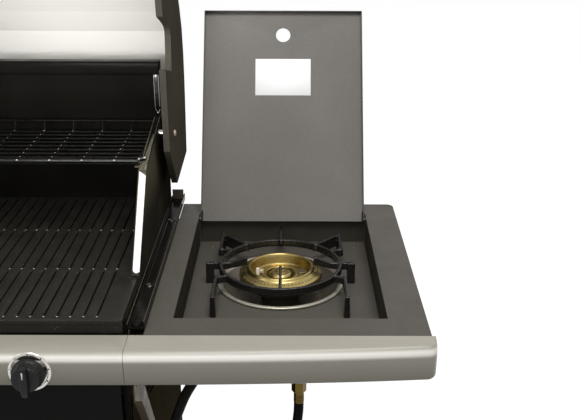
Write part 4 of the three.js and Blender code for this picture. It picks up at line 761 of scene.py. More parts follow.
def bench(x, y, z):
    return BENCH + Vector((x, y, z)) * MM


def beside(x, y, z):
    """A place with its x in metres, and its y and z in millimetres from the bench mark."""
    return Vector((x, *bench(0, y, z).yz))


print("bench mark at", [round(v, 4) for v in BENCH])

# %% [markdown]
# ## The front strip
# One pressed section runs over the whole front: a flat top, a round ridge, a raked face and a curled foot.
# It bows back towards the shelf ends and rounds off there, so it is lofted through sections along X.

# %% The strip's section
STRIP_BACK = -48.3
STRIP_FRONT = -97
STRIP_RIDGE = 14
STRIP_DROP = 50
STRIP_RAKE = 2
STRIP_FOOT = 5
STRIP_END_ROUND = 12
STRIP_BOW = 19
STRIP_SPACING = 14
PANEL_HALF = 359.7
FASCIA_START = 360.3
STRIP_HALF = 767


def arc(middle, radius, start, end, steps):
    """Points on a circle in the (y, z) plane between two angles in degrees."""
    for step in range(steps + 1):
        angle = math.radians(start + (end - start) * step / steps)
        yield (middle[0] + radius * math.cos(angle), middle[1] + radius * math.sin(angle))


strip_outline = [
    (STRIP_BACK, 0),
    (STRIP_BACK - 3, 0),
    *arc((STRIP_FRONT + STRIP_RIDGE, -STRIP_RIDGE), STRIP_RIDGE, 90, 180, 14),
    *arc((STRIP_FRONT + STRIP_RAKE + STRIP_FOOT, STRIP_FOOT - STRIP_DROP), STRIP_FOOT, 183, 270, 6),
    (STRIP_BACK - 3, -STRIP_DROP),
    (STRIP_BACK, -STRIP_DROP),
]


def strip_section(x, inset=0):
    """The section at a place along X, drawn in by an inset where the end rounds off."""
    bow = STRIP_BOW * (abs(x) / STRIP_HALF) ** 4
    middle = -STRIP_DROP / 2
    points = []
    for y, z in strip_outline:
        forward = (STRIP_BACK - y) / (STRIP_BACK - STRIP_FRONT)
        squeeze = 1 - inset / STRIP_DROP * forward
        points.append(bench(x, y + (bow + inset) * forward, middle + (z - middle) * squeeze))
    return points


def strip_stations(start, end):
    count = round((end - start) / STRIP_SPACING)
    return [start + (end - start) * index / count for index in range(count + 1)]


print("strip section has", len(strip_outline), "points")

# %% Fascias on the two shelves
END_STEPS = 9
END_TURN = math.radians(84)
for side, mirror in SIDES:
    straight = STRIP_HALF - STRIP_END_ROUND
    sections = [strip_section(x) for x in [FASCIA_START, *strip_stations(FASCIA_START + 0.6, straight)]]
    for step in range(1, END_STEPS + 1):
        turn = END_TURN * step / END_STEPS
        x = straight + STRIP_END_ROUND * math.sin(turn)
        sections.append(strip_section(x, STRIP_END_ROUND * (1 - math.cos(turn))))
    fascia = loft(f"fascia_skin_{side}", sections, strip_silver, sharp=50)
    if mirror < 0:
        fascia.data.transform(Matrix.Scale(-1, 4, (1, 0, 0)))
        fascia.data.flip_normals()
    own(fascia, "trolley", "strip_silver", f"fascia_{side}")
print("two fascias")

# %% Control panel with a bezel for each knob
# The panel's skin is closed, so each valve stem cuts through it, out of sight under its bezel and knob.
# Seven dots on each bezel grow in size round the knob.
KNOB_PLACES = (-240, -80, 80, 240)
KNOB_HEIGHT = -27
SCALE_DOTS = 7
SCALE_START = 210
SCALE_PITCH = 40
SCALE_RADIUS = 25.6
panel = loft("control_panel_skin", [strip_section(x) for x in strip_stations(-PANEL_HALF, PANEL_HALF)],
             strip_silver, sharp=50)
own(panel, "trolley", "strip_silver", "control_panel")
face_y = STRIP_FRONT + STRIP_RAKE * (-STRIP_RIDGE - KNOB_HEIGHT) / (STRIP_DROP - STRIP_RIDGE)
for number, x in enumerate(KNOB_PLACES, 1):
    bezel = turned(
        f"knob_bezel_{number}",
        [(7, 0), (27, 0), (28, 0.4), (27.4, 1.2), (24.5, 1.7), (23.5, 0.4), (7, 0.3)],
        bench(x, face_y + 0.3, KNOB_HEIGHT), bright_steel, axis=(0, -1, 0),
    )
    own(bezel, "trolley", "bright_steel")
    ticks = []
    for step in range(SCALE_DOTS):
        angle = math.radians(SCALE_START - SCALE_PITCH * step)
        offset = Vector((math.cos(angle), 0, math.sin(angle)))
        spot = bench(x, face_y - 0.9, KNOB_HEIGHT) + offset * SCALE_RADIUS * MM
        size = 0.7 + 0.1 * step
        ticks.append(turned("tick", [(0, 0), (size, 0), (size - 0.1, 0.5), (0, 0.5)], spot, dial_ink,
                            axis=(0, -1, 0), steps=20))
    own(merge(f"knob_scale_{number}", ticks), "trolley", "knob_plastic")
print("control panel with", len(KNOB_PLACES), "places for knobs")

# %% [markdown]
# ## Knobs
# Each knob is moulded with a flared skirt, a fluted rim and a raised bar to grip, with a white line at the
# bar's top end. The cap is turned, and the grip is a lofted bar that swells at its middle.

# %% Mould the knobs
KNOB_RADIUS = 22
KNOB_STAND = 4
KNOB_DECK = 23
KNOB_FACE = 32
FLUTES = 24


def knob_cap(place):
    profile = rounded(
        [(5, KNOB_STAND), (KNOB_RADIUS - 1, KNOB_STAND), (KNOB_RADIUS, KNOB_STAND + 1.5),
         (KNOB_RADIUS - 0.6, KNOB_STAND + 5), (KNOB_RADIUS - 2.4, KNOB_STAND + 7),
         (KNOB_RADIUS - 4, KNOB_DECK - 1.5), (KNOB_RADIUS - 6, KNOB_DECK), (0, KNOB_DECK + 0.4)],
        1.2, 3,
    )
    bm = turned_bmesh([tuple(point) for point in profile], FLUTES * 6)
    for vertex in bm.verts:
        x, y, z = vertex.co
        if KNOB_STAND + 7 < z / MM < KNOB_DECK - 1:
            flute = 0.35 * MM * math.cos(FLUTES * math.atan2(y, x))
            vertex.co += Vector((x, y, 0)).normalized() * flute
    bmesh.ops.transform(bm, matrix=place_along(place, (0, -1, 0)), verts=bm.verts)
    return mesh_piece("knob_cap", bm, knob_plastic)


def knob_grip(place):
    sections = []
    for step in range(13):
        share = step / 6 - 1
        z = (KNOB_RADIUS - 2.2) * share
        half = 3.6 + 1.4 * (1 - share**2)
        rise = (KNOB_FACE - KNOB_DECK) * (1 - 0.25 * share**4)
        section = rounded([(-half - 0.6, -1), (-half, rise), (half, rise), (half + 0.6, -1)], 2, 4)
        sections.append([place + Vector((x, -KNOB_DECK - y, z)) * MM for x, y in section])
    return loft("knob_grip", sections, knob_plastic, sharp=45)


for number, x in enumerate(KNOB_PLACES, 1):
    place = bench(x, face_y, KNOB_HEIGHT)
    own(merge(f"knob_body_{number}", [knob_cap(place), knob_grip(place)]),
        f"knob_{number}", "knob_plastic", f"knob_{number}")
    line = blank(f"knob_line_{number}", place + Vector((-0.9, -KNOB_FACE + 0.02, 7)) * MM,
                 place + Vector((0.9, -KNOB_FACE + 0.6, 17)) * MM, white_mark, 0.2 * MM, 1)
    own(line, f"knob_{number}", "knob_plastic")
print("knobs of", 2 * KNOB_RADIUS, "mm")

# %% [markdown]
# ## Side shelves
# The shelves are folded from sheet and powder coated. The imported nodes already have the shape, so they keep
# it and get soft edges. Small things are added in the well: two screw heads, a dark ring of painted shade for
# the drain, two rests for the lid, and thin darker sheets of painted shade on three of its walls, which see
# little light.

# %% Shelves and small fittings in the well
for node in ("shelf_right", "shelf_left"):
    dress(node, shelf_coat, 1.2 * MM, 3)


def screw(name, place, width=7, axis=(0, 0, 1), rise=2.0):
    """A pan head with a cross recess drawn as two thin dark bars of painted shade, on the trolley."""
    radius = width / 2
    head = turned(
        "head",
        rounded([(radius, 0), (radius, rise * 0.4), (radius * 0.7, rise), (0, rise)], 0.8, 3),
        place, plated_steel, axis=axis, steps=28,
    )
    cross = []
    for turn in (0, math.pi / 2):
        bm = bmesh.new()
        bmesh.ops.create_cube(bm, size=1)
        size = Vector((radius * 1.1, 0.8, 0.3)) * MM
        bmesh.ops.transform(bm, matrix=Matrix.Diagonal((*size, 1)), verts=bm.verts)
        bmesh.ops.transform(bm, matrix=Matrix.Rotation(turn + 0.4, 4, "Z"), verts=bm.verts)
        bmesh.ops.translate(bm, vec=(0, 0, rise * MM), verts=bm.verts)
        bmesh.ops.transform(bm, matrix=place_along(place, axis), verts=bm.verts)
        cross.append(mesh_piece("cross", bm, hole_shade))
    own(merge(f"{name}_recess", cross), "trolley", "plated_steel")
    head.name = name
    own(head, "trolley", "plated_steel")


WELL_MIDDLE = 561
WELL_HALF = 147.5
WELL_DEPTH = 55
WELL_LENGTH = 400
WELL_SCREWS = ((-125, 375), (128, 372))
DRAIN_X = 73
DRAIN_Y = 22
for number, (x, y) in enumerate(WELL_SCREWS, 1):
    screw(f"well_screw_{number}", bench(WELL_MIDDLE + x, y, -WELL_DEPTH), 6)
# The drain is a dark ring of painted shade.
drain = turned("well_drain", [(3.4, 0.05), (5.6, 0.05), (5.6, 0.5), (5, 0.8), (4, 0.8), (3.4, 0.5)],
               bench(WELL_MIDDLE + DRAIN_X, DRAIN_Y, -WELL_DEPTH), hole_shade, steps=32)
own(drain, "trolley", "shelf_coat")
for number, side in enumerate((-1, 1), 1):
    x = WELL_MIDDLE + side * (WELL_HALF - 4)
    rest = blank(f"lid_rest_{number}", bench(x - 4, 3, -17), bench(x + 4, 11, -13), shelf_coat, 0.7 * MM)
    own(rest, "trolley", "shelf_coat")
WALL_SKIN = 0.3
SKIN_GAP = 0.02
HINGE_CLEAR = 18
# Painted shade: thin darker sheets on three walls of the well.
well_shade_coat = Finish("well_shade_coat", (64, 61, 54), roughness=0.6, specular=0.0)
well_shade_coat.mottle(30, 0.1).vary_roughness(60, 0.5, 0.7)
left, right = WELL_MIDDLE - WELL_HALF, WELL_MIDDLE + WELL_HALF
side_back = WELL_LENGTH - HINGE_CLEAR
shade_sheets = [
    blank("lining", bench(x0, y0, 1 - WELL_DEPTH), bench(x1, y1, -1.8), well_shade_coat, 0.1 * MM, 1)
    for x0, x1, y0, y1 in (
        (left + SKIN_GAP, left + WALL_SKIN, 1, side_back),
        (right - WALL_SKIN, right - SKIN_GAP, 1, side_back),
        (left + 1, right - 1, WELL_LENGTH - WALL_SKIN, WELL_LENGTH - SKIN_GAP),
    )
]
own(merge("well_painted_shade", shade_sheets), "trolley", "shelf_coat")
print("well of", 2 * WELL_HALF, "by", WELL_LENGTH, "mm")

# %% [markdown]
# ## The wok burner
# A pressed stainless bowl hangs in a round hole of the well and catches spills. A brass burner stands in
# its middle: a wide ring with a row of small ports low on its side, a second row on its shoulder, and a
# raised rim round a sunk centre. All of these are turned pieces, and each port is a small dark stud on the
# ring, painted shade where the hole would be.

# %% Bowl and burner base
BURNER_X = WELL_MIDDLE - 2
BURNER_Y = 232
MIXER_DROP = -100
MIXER_START = 20
MIXER_END = 209.5
MIXER_WIDTH = 22
burner = bench(BURNER_X, BURNER_Y, 0)
union_place = bench(587, -4, 0)
mixer_run = (union_place - burner).normalized()


def near_burner(x, y, z):
    return burner + Vector((x, y, z)) * MM


def along_mixer(distance):
    return near_burner(0, 0, MIXER_DROP) + mixer_run * distance * MM


bowl = turned(
    "burner_bowl_skin",
    [
        (24, -87.5), (34, -87.5),
        *rounded([(68, -81.5), (94.4, -59.7), (94.5, -54.8), (102, -54.6)], 5, 6),
        *arc((100.9, -52.6), 2.05, -70, 90, 8),
        *rounded([(100.4, -50.5), (96.4, -50.6), (91.4, -57.6), (68, -80), (34, -86)], 4, 6),
        (24, -86), (24, -87.5),
    ],
    burner, bowl_steel, steps=128, sharp=50,
)
own(bowl, "trolley", "bright_steel", "burner_bowl")
base = turned(
    "wok_burner_casting",
    [
        (0, -112), (21, -112), (23, -110), (23, -87.8), (23.6, -85.6), (31, -85.6), (33, -71.7),
        (56, -58), (58, -56), (58, -48.4), (0, -48.4),
    ],
    burner, burner_iron,
)
mixer = rod("mixer", along_mixer(MIXER_START), along_mixer(MIXER_END), MIXER_WIDTH, burner_iron,
            steps=48, edge=1)
own(merge("wok_burner_body", [base, mixer]), "trolley", "plate_iron", "wok_burner_base")
print("bowl and burner base turned")

# %% Brass ring with its ports
ring = turned(
    "burner_ring_brass",
    [
        (22, -48), (59, -48), (66.6, -44.4), (67, -43.6),
        *rounded([(67, -38), (66.6, -35), (63, -33.8), (56.6, -31.6)], 2.6, 6),
        *rounded([
            (55, -31), (53.4, -27), (52, -26), (50, -26), (48.6, -27.2), (47.4, -31), (45, -41), (44, -43),
            (22, -43),
        ], 1.2, 5),
        (22, -48),
    ],
    burner, brass, steps=144, sharp=50,
)
own(ring, "trolley", "brass", "wok_burner_ring")
PORTS = 60
UP = Vector((0, 0, 1))
for name, profile, shift, reach, height, level, rise in (
    ("burner_ports", [(0, 0), (1.15, 0), (0.95, 0.2), (0, 0.1)], 0.5, 66.95, -40.4, 1, 0),
    ("burner_top_ports", [(0, -0.3), (1.05, -0.3), (1.05, 0.12), (0.8, 0.24), (0, 0.14)], 0, 60.4, -32.85,
     0.35, 1),
):
    ports = []
    for step in range(PORTS):
        angle = 2 * math.pi * (step + shift) / PORTS
        out = Vector((math.cos(angle), math.sin(angle), 0))
        spot = burner + (out * reach + UP * height) * MM
        lean = (out * level + UP * rise).normalized()
        ports.append(turned("port", profile, spot, hole_shade, axis=lean, steps=10))
    own(merge(name, ports), "trolley", "brass")
print("ports:", PORTS, "low and", PORTS, "on the shoulder")

# %% Hub, electrode and flame sensor
hub = turned(
    "burner_hub_brass",
    [
        (0, -48), (19, -48),
        *rounded([
            (19, -41), (17.5, -38.6), (15, -36.4), (10.5, -36.2),
            (8, -36), (7.6, -32.6), (6.4, -32), (0, -32),
        ], 1.2, 5),
    ],
    burner, brass, sharp=50,
)
own(hub, "trolley", "brass", "wok_burner_hub")
inner_ring = turned(
    "burner_inner_ring",
    [
        (23, -43),
        *rounded([(30, -43), (30, -39.4), (28.6, -38.4), (25, -38.4), (23.6, -39.4), (23.4, -43)], 0.8, 4),
    ],
    burner, brass, sharp=50,
)
own(inner_ring, "trolley", "brass")
electrode = turned("electrode", [(0, 0), (2.9, 0), (2.9, 10), (2.5, 11), (1.8, 11.4), (0, 11.4)],
                   near_burner(-37, 3, -43), ceramic, steps=32)
own(electrode, "trolley", "bright_steel")
# The electrode's gap is a thin dark box of painted shade.
for name, low, high, finish, edge in (
    ("electrode_holder", (-33.6, -1.5, -43), (-27.6, 6, -34), bolt_steel, 0.7),
    ("electrode_gap", (-33, -1.9, -41.4), (-29.6, -1.3, -38.6), hole_shade, 0.2),
):
    own(blank(name, near_burner(*low), near_burner(*high), finish, edge * MM), "trolley", "plated_steel")
SENSOR_STRETCH = (1.35, 0.8, 1, 1)
sensor_place = near_burner(31, 14, -43)
sensor = turned("flame_sensor", [(0, 0), (9, 0), (9.4, 0.8), (8.8, 1.5), (0, 1.7)], sensor_place,
                plated_steel, steps=40)
sensor.data.transform(Matrix.Translation(sensor_place) @ Matrix.Diagonal(SENSOR_STRETCH)
                      @ Matrix.Translation(-sensor_place))
own(sensor, "trolley", "plated_steel")
print("hub, electrode and sensor")

# %% [markdown]
# ## The trivet
# The pan support is one iron casting: a ring, three prongs that point inwards from its sides and its front,
# a bar to the back, a foot at each side, a leg at each corner and two slanting struts at the back. Its bars
# are joined as rough blocks, melted together with a voxel remesh of about a millimetre, and smoothed, so
# that every edge and inner corner is soft, as cast iron is.

# %% Cast the trivet
TRIVET_RADIUS = 100
TRIVET_TOP = -20.2
TRIVET_BAR = 7.6
TRIVET_UNDER = -32
CAST_DRAFT = 0.72
PIP_RADIUS = 5.2
PIP_RISE = 1.3
VOXEL = 1.15


def iron_bar(bm, start, end, width=TRIVET_BAR, under=TRIVET_UNDER, top=TRIVET_TOP):
    """A level bar between two (x, y) places."""
    start, end = Vector(start), Vector(end)
    side = (end - start).normalized().orthogonal() * width / 2
    lower, upper = [
        [start + side * share, start - side * share, end - side * share, end + side * share]
        for share in (1, CAST_DRAFT)
    ]
    iron_prism(bm, [(c.x, c.y, under) for c in lower], [(c.x, c.y, top) for c in upper])


def iron_pip(bm, x, y):
    """A round lump where bars meet."""
    lower, upper = circle(x, y, PIP_RADIUS, 12), circle(x, y, PIP_RADIUS * 0.6, 12)
    top = TRIVET_TOP + PIP_RISE
    iron_prism(bm, [(*spot, TRIVET_UNDER) for spot in lower], [(*spot, top) for spot in upper])


def iron_prism(bm, lower, upper):
    prism(bm, *([Vector(point) * MM for point in outline] for outline in (lower, upper)))


def iron_upright(bm, points, across, width):
    """A bar that stands on edge, from its (distance, z) outline along a level direction."""
    across = Vector((*across, 0)).normalized()
    side = Vector((-across.y, across.x, 0)) * width / 2
    ends = [[across * d + Vector((0, 0, z)) + sign * side for d, z in points] for sign in (-1, 1)]
    iron_prism(bm, *ends)


bm = bmesh.new()
ring_middle = TRIVET_RADIUS - TRIVET_BAR / 2
RING_PARTS = 72
for step in range(RING_PARTS):
    a, b = (2 * math.pi * (step + s) / RING_PARTS for s in (-0.02, 1.02))
    inner, outer = ring_middle - TRIVET_BAR / 2, ring_middle + TRIVET_BAR / 2
    lower, upper = [
        [(r * math.cos(t), r * math.sin(t)) for r, t in ((i, a), (o, a), (o, b), (i, b))]
        for i, o in ((inner, outer), (inner + 1.1, outer - 1.1))
    ]
    iron_prism(bm, [(x, y, TRIVET_UNDER) for x, y in lower], [(x, y, TRIVET_TOP) for x, y in upper])
foot_z = 0.5 - WELL_DEPTH
iron_bar(bm, (0, 90), (0, 154.6))
for side in (-1, 1):
    iron_bar(bm, (side * 108, 0), (side * 120.8, 0), 13.6, foot_z)
    iron_bar(bm, (side * ring_middle, 0), (side * 117, 0))
    prong = [
        (53.4, -23.8), (53.4, -10.2), (58, -10.6), (80, -19.6),
        (97, TRIVET_TOP), (97, TRIVET_UNDER), (84, -31),
    ]
    iron_upright(bm, prong, (side, 0), TRIVET_BAR * 0.85)
    for x, y in ((97, 0), (83.5, 48), (83.5, -48), (100, 54), (100, -54), (58, 75)):
        iron_pip(bm, side * x, y)
    for end in (-1, 1):
        iron_bar(bm, (side * 83.5, end * 48), (side * 101, end * 56))
        iron_bar(bm, (side * 101, end * 52.4), (side * 101, end * 126.8))
        iron_bar(bm, (side * 101, end * 113.2), (side * 101, end * 126.8), 9.6, foot_z)
    iron_bar(bm, (side * 57, 74), (side * 95, 117))
    iron_bar(bm, (side * 76, 95.5), (side * 98, 119), TRIVET_BAR * 0.8, TRIVET_UNDER - 9, TRIVET_TOP - 1)
    iron_bar(bm, (side * 94, 116), (side * 101, 119))
iron_upright(bm, [(36.4, -20), (36.4, -8.2), (41, -8.8), (97, TRIVET_TOP), (97, TRIVET_UNDER), (84, -31)],
             (0, -1), TRIVET_BAR * 0.6)
iron_pip(bm, 0, ring_middle)
trivet = mesh_piece("trivet_casting", bm, trivet_iron, 180)
melt = trivet.modifiers.new("melt", "REMESH")
melt.mode = "VOXEL"
melt.voxel_size = VOXEL * MM
melt.use_smooth_shade = True
ease = trivet.modifiers.new("ease", "SMOOTH")
ease.factor = 0.5
ease.iterations = 4
depsgraph = bpy.context.evaluated_depsgraph_get()
cast_mesh = bpy.data.meshes.new_from_object(trivet.evaluated_get(depsgraph))
trivet.modifiers.clear()
trivet.data = cast_mesh
trivet.data.transform(Matrix.Translation(burner))
cast_mesh.shade_smooth()
own(trivet, "trolley", "trivet_iron", "trivet")
print("trivet casting has", len(cast_mesh.polygons), "faces")

# %% [markdown]
# ## The gas union
# A brass union joins the burner's pipe to the hose. It is a hexagon for the spanner with a crimped ferrule
# under it, and a collar on the pipe that comes from the mixer tube.

# %% Turn the union
UNION_HEXAGON = 10.5
COLLAR_END = 209.9
COLLAR_DEPTH = 9
RIBS = 4
RIB_PITCH = 3.2
union = turned(
    "union_hexagon",
    [(0, -113), (8.6, -113), (UNION_HEXAGON, -111.6), (UNION_HEXAGON, -89.4), (8.6, -88), (0, -88)],
    union_place, shade_darkened_brass, steps=6, sharp=20,
)
ferrule_profile = [(0, -130), (6.7, -130), (7.3, -129.2)]
for step in range(RIBS):
    z = -128.4 + step * RIB_PITCH
    ferrule_profile += [(7.4, z), (7.4, z + 1.3), (6.9, z + 1.7), (6.9, z + 2.6)]
ferrule_profile += [(7.4, -115), (7.4, -112.8), (0, -112.8)]
ferrule = turned("union_ferrule", ferrule_profile, union_place, shade_darkened_brass, steps=48)
spigot_start = union_place + UP * MIXER_DROP * MM
spigot = rod("union_spigot", spigot_start, along_mixer(COLLAR_END - COLLAR_DEPTH), 10, shade_darkened_brass, edge=0.4)
collar = rod("union_collar", spigot_start - mixer_run * 2 * MM, along_mixer(COLLAR_END), 17.6, shade_darkened_brass,
             steps=6, edge=0.8)
own(merge("gas_union", [union, ferrule, spigot, collar]), "trolley", "brass", "gas_fitting")
print("union hexagon", 2 * UNION_HEXAGON, "mm across its corners")

# %% [markdown]
# ## The folding lid
# The lid is one thin sheet with three edges turned down and a finger hole near the free edge. It stands
# open here, so its underside faces the cook, with a plain blank label stuck on it. It is drawn lying shut,
# about its hinge line, and then turned to the open angle.

# %% Fold the lid
LID_WIDTH = 290
LID_LENGTH = 391
LID_SHEET = 1.2
LID_EDGE = 10
LID_HOLE = 26.5
LID_HOLE_INSET = 44
LID_OPEN = 120
HINGE_Y = 388.9
HINGE_DROP = 6.2
LID_BEHIND_HINGE = 3.8
hinge_line = bench(WELL_MIDDLE, HINGE_Y, -HINGE_DROP)
lid_turn = Matrix.Translation(hinge_line) @ Matrix.Rotation(math.radians(-LID_OPEN), 4, "X")
lid_front = LID_BEHIND_HINGE - LID_LENGTH
lid_top = HINGE_DROP


def on_lid(x, y, z):
    """A place in millimetres on the shut lid, measured from the hinge line."""
    return lid_turn @ (Vector((x, y, z)) * MM)


def lid_blank(name, low, high, finish, edge, segments=3):
    piece = blank(name, Vector(low) * MM, Vector(high) * MM, finish, edge * MM, segments)
    piece.data.transform(lid_turn)
    return piece


sheet_middle = lid_turn @ Matrix.Translation((0, 0, (lid_top - LID_SHEET / 2) * MM))
half = LID_WIDTH / 2
lid_sheet = cut_plate(
    "lid_sheet",
    [rectangle(-half + 0.4, half - 0.4, lid_front + 0.4, LID_BEHIND_HINGE, 1.2),
     circle(0, lid_front + LID_HOLE_INSET, LID_HOLE / 2, 64)],
    LID_SHEET, 0.3, lid_coat, sheet_middle,
)
edge_low, edge_high = lid_top - LID_EDGE, lid_top - 0.2
flanges = [
    lid_blank(name, (x0, lid_front, edge_low), (x1, y1, edge_high), lid_coat, 0.5)
    for name, x0, x1, y1 in (
        ("left", -half, -half + LID_SHEET, LID_BEHIND_HINGE),
        ("right", half - LID_SHEET, half, LID_BEHIND_HINGE),
        ("front", -half, half, lid_front + LID_SHEET),
    )
]
own(merge("folding_lid", [lid_sheet, *flanges]), "side_lid", "lid_coat", "side_lid")
pins = [rod("pin", on_lid(side * (half - 1), 0, 0), on_lid(side * (half + 5.8), 0, 0), 4, plated_steel)
        for side in (-1, 1)]
own(merge("lid_hinge_pins", pins), "side_lid", "plated_steel")
for number, side in enumerate((-1, 1), 1):
    x = side * (half - 2.2)
    ear = lid_blank(f"lid_ear_{number}", (x - 1, -14, -5), (x + 1, 3, 4.6), cabinet_coat, 0.6)
    own(ear, "side_lid", "lid_coat")
print("lid open by", LID_OPEN, "degrees")

# %% A blank label under the lid
LABEL_WIDTH = 101
LABEL_NEAR = 90
LABEL_FAR = 159
label_z = lid_top - LID_SHEET
label = lid_blank("blank_label", (-LABEL_WIDTH / 2, lid_front + LABEL_NEAR, label_z - 0.25),
                  (LABEL_WIDTH / 2, lid_front + LABEL_FAR, label_z + 0.05), label_paper, 0.1, 1)
own(label, "side_lid", "lid_coat")
print("label", LABEL_WIDTH, "by", LABEL_FAR - LABEL_NEAR, "mm")

# %% [markdown]
# ## Cooking plates
# Two enamelled cast-iron plates lie side by side on the fire box, a slotted grill on the right and a solid
# hotplate on the left, each with a skirt that hangs down in front. The grill's slots run from front to back
# in three rows with round ends, so it is a plate cut to an outline, and its edges are broken to catch
# light. A small pale pip at the front end of each slot is a painted glint.

# %% Grill plate and hotplate
PLATE_TOP = 20
PLATE_THICK = 8
PLATE_FRONT = -46
PLATE_BACK = 427
PLATE_INNER = 0.5
PLATE_OUTER = 352.4
SLOT_PITCH = 17.7
SLOT_WIDTH = 2.4
SLOT_EDGE = 0.8
END_GLINT = 1.2
SLOT_BORDER = 33
SLOT_MARGIN = 13
SLOT_BRIDGE = 8
SLOT_ROWS = 3
SKIRT_THICK = 8
SKIRT_FOOT = 0.5
plate_middle = Matrix.Translation(bench(0, 0, PLATE_TOP - PLATE_THICK / 2))

run = (PLATE_BACK - PLATE_FRONT - 2 * SLOT_MARGIN - (SLOT_ROWS - 1) * SLOT_BRIDGE) / SLOT_ROWS
slot_xs = []
slot_x = PLATE_OUTER - SLOT_BORDER - SLOT_WIDTH / 2 - SLOT_EDGE
while slot_x - SLOT_WIDTH > PLATE_INNER + 6:
    slot_xs.append(slot_x)
    slot_x -= SLOT_PITCH
slots = []
glints = []
for slot_x in slot_xs:
    for row in range(SLOT_ROWS):
        start = PLATE_FRONT + SLOT_MARGIN + row * (run + SLOT_BRIDGE)
        slots.append(slot_outline(slot_x, start, start + run, SLOT_WIDTH))
        # Painted highlight: a small pale pip at each slot's front end.
        glints.append(turned(
            "glint", [(END_GLINT, -0.4), (END_GLINT, 0.1), (END_GLINT * 0.6, 0.35), (0, 0.45)],
            bench(slot_x, start - END_GLINT, PLATE_TOP), glint_paint, steps=12,
        ))
own(merge("slot_end_painted_glints", glints), "trolley", "plate_iron")


def plate(name, x0, x1, slots, edge, replaced):
    """A deck with a skirt that hangs down along its front."""
    outlines = [rectangle(x0, x1, PLATE_FRONT, PLATE_BACK, 3), *slots]
    deck = cut_plate("deck", outlines, PLATE_THICK, edge, plate_iron, plate_middle)
    skirt = blank("skirt", bench(x0, PLATE_FRONT + 0.2, SKIRT_FOOT),
                  bench(x1, PLATE_FRONT + SKIRT_THICK, PLATE_TOP - 3), plate_iron, 1.2 * MM)
    own(merge(name, [deck, skirt]), "trolley", "plate_iron", replaced)


plate("grill_plate_slotted", PLATE_INNER, PLATE_OUTER, slots, SLOT_EDGE, "grill_plate")
plate("hotplate_solid", -PLATE_OUTER, -PLATE_INNER, [], 1.3, "hotplate")
print("grill plate with", len(slot_xs), "columns of slots")

# %% [markdown]
# ## Fire box, burners and the enamelled surround
# The fire box, end panels, back wall and side rails are folded sheet. Their imported nodes keep their shape
# and get enamel, soft edges and thin trim: some real, plus pale wires that are painted highlights and a white
# strip that is a painted reflection. Three steel burners, each with two rows of ports, run from the front to
# the back inside.

# %% Enamel the surround
for node in ("back_wall", "side_rail_right", "side_rail_left"):
    dress(node, fire_enamel, 0.7 * MM, 2)
for node in ("end_panel_right", "end_panel_left"):
    dress(node, side_enamel, 0.7 * MM, 2)
dress("firebox", fire_coat, 0.7 * MM, 2)

TUBE_AXIS_Z = -38
TUBE_FRONT = -33.9
TUBE_RADIUS = 13.9
TUBE_LENGTH = 428.5
TUBE_PORTS = 58
PORT_PITCH = 6
PORT_START = 28
PORT_LEAN = math.radians(32)
PORT_SINK = 0.04
for side, x in (("left", -235), ("middle", 0), ("right", 235)):
    tube = turned(
        f"tube_burner_{side}",
        rounded([(12.5, 0), (TUBE_RADIUS, 0), (TUBE_RADIUS, TUBE_LENGTH), (0, TUBE_LENGTH)], 4, 5),
        bench(x, TUBE_FRONT, TUBE_AXIS_Z), burner_steel, axis=(0, 1, 0), steps=56,
    )
    # Each port is a small dark disc of painted shade on the tube.
    ports = []
    for step in range(TUBE_PORTS):
        for lean in (-PORT_LEAN, PORT_LEAN):
            out = Vector((math.sin(lean), 0, math.cos(lean)))
            spot = bench(x, PORT_START + step * PORT_PITCH, TUBE_AXIS_Z)
            spot += out * (TUBE_RADIUS - PORT_SINK) * MM
            ports.append(turned("port", [(0, 0), (0.9, 0), (0.7, 0.12), (0, 0.08)], spot, hole_shade, axis=out,
                                steps=8))
    own(merge(f"tube_burner_ports_{side}", ports), "trolley", "burner_steel")
    own(tube, "trolley", "burner_steel", f"burner_{side}")
print("surround enamelled, three burners")

# %% Trim, painted highlights and a painted reflection on the end panels and the back wall
FLANGE_FOOT = Vector((88, 22))
FLANGE_SHOULDER = Vector((200, 146))
FLANGE_INNER = 344.7
FLANGE_OUTER = 355
CREST = [(200, 146), (235, 152), (385, 181)]
slope = FLANGE_SHOULDER - FLANGE_FOOT
slope_length = slope.length
slope_way = slope / slope_length
slope_out = Vector((-slope_way.y, slope_way.x))
NOSE_X = 354.4
NOSE_Y = 87.6
FOOT_ROUND = 6


def on_slope(mirror, x, along, rise):
    """A place on the slanting flange, by the distance along it and the rise above it."""
    spot = FLANGE_FOOT + slope_way * along + slope_out * rise
    return bench(mirror * x, spot.x, spot.y)


def crest_strip(name, mirror, stations, low, high, finish):
    """A thin strip along the crest, through stations of y, z, inner x and outer x."""
    sections = [
        [bench(mirror * x, y, z + rise)
         for x, rise in ((inner, low), (inner, high), (outer, high), (outer, low))]
        for y, z, inner, outer in stations
    ]
    own(loft(name, sections, finish, sharp=30), "trolley", "panel_enamel")


# Thin pale wires along edges, each one a painted highlight.
def highlight_wire(name, paths, width, finish, slot):
    own(curve_piece(name, paths, width * MM, finish, resolution=3), "trolley", slot)


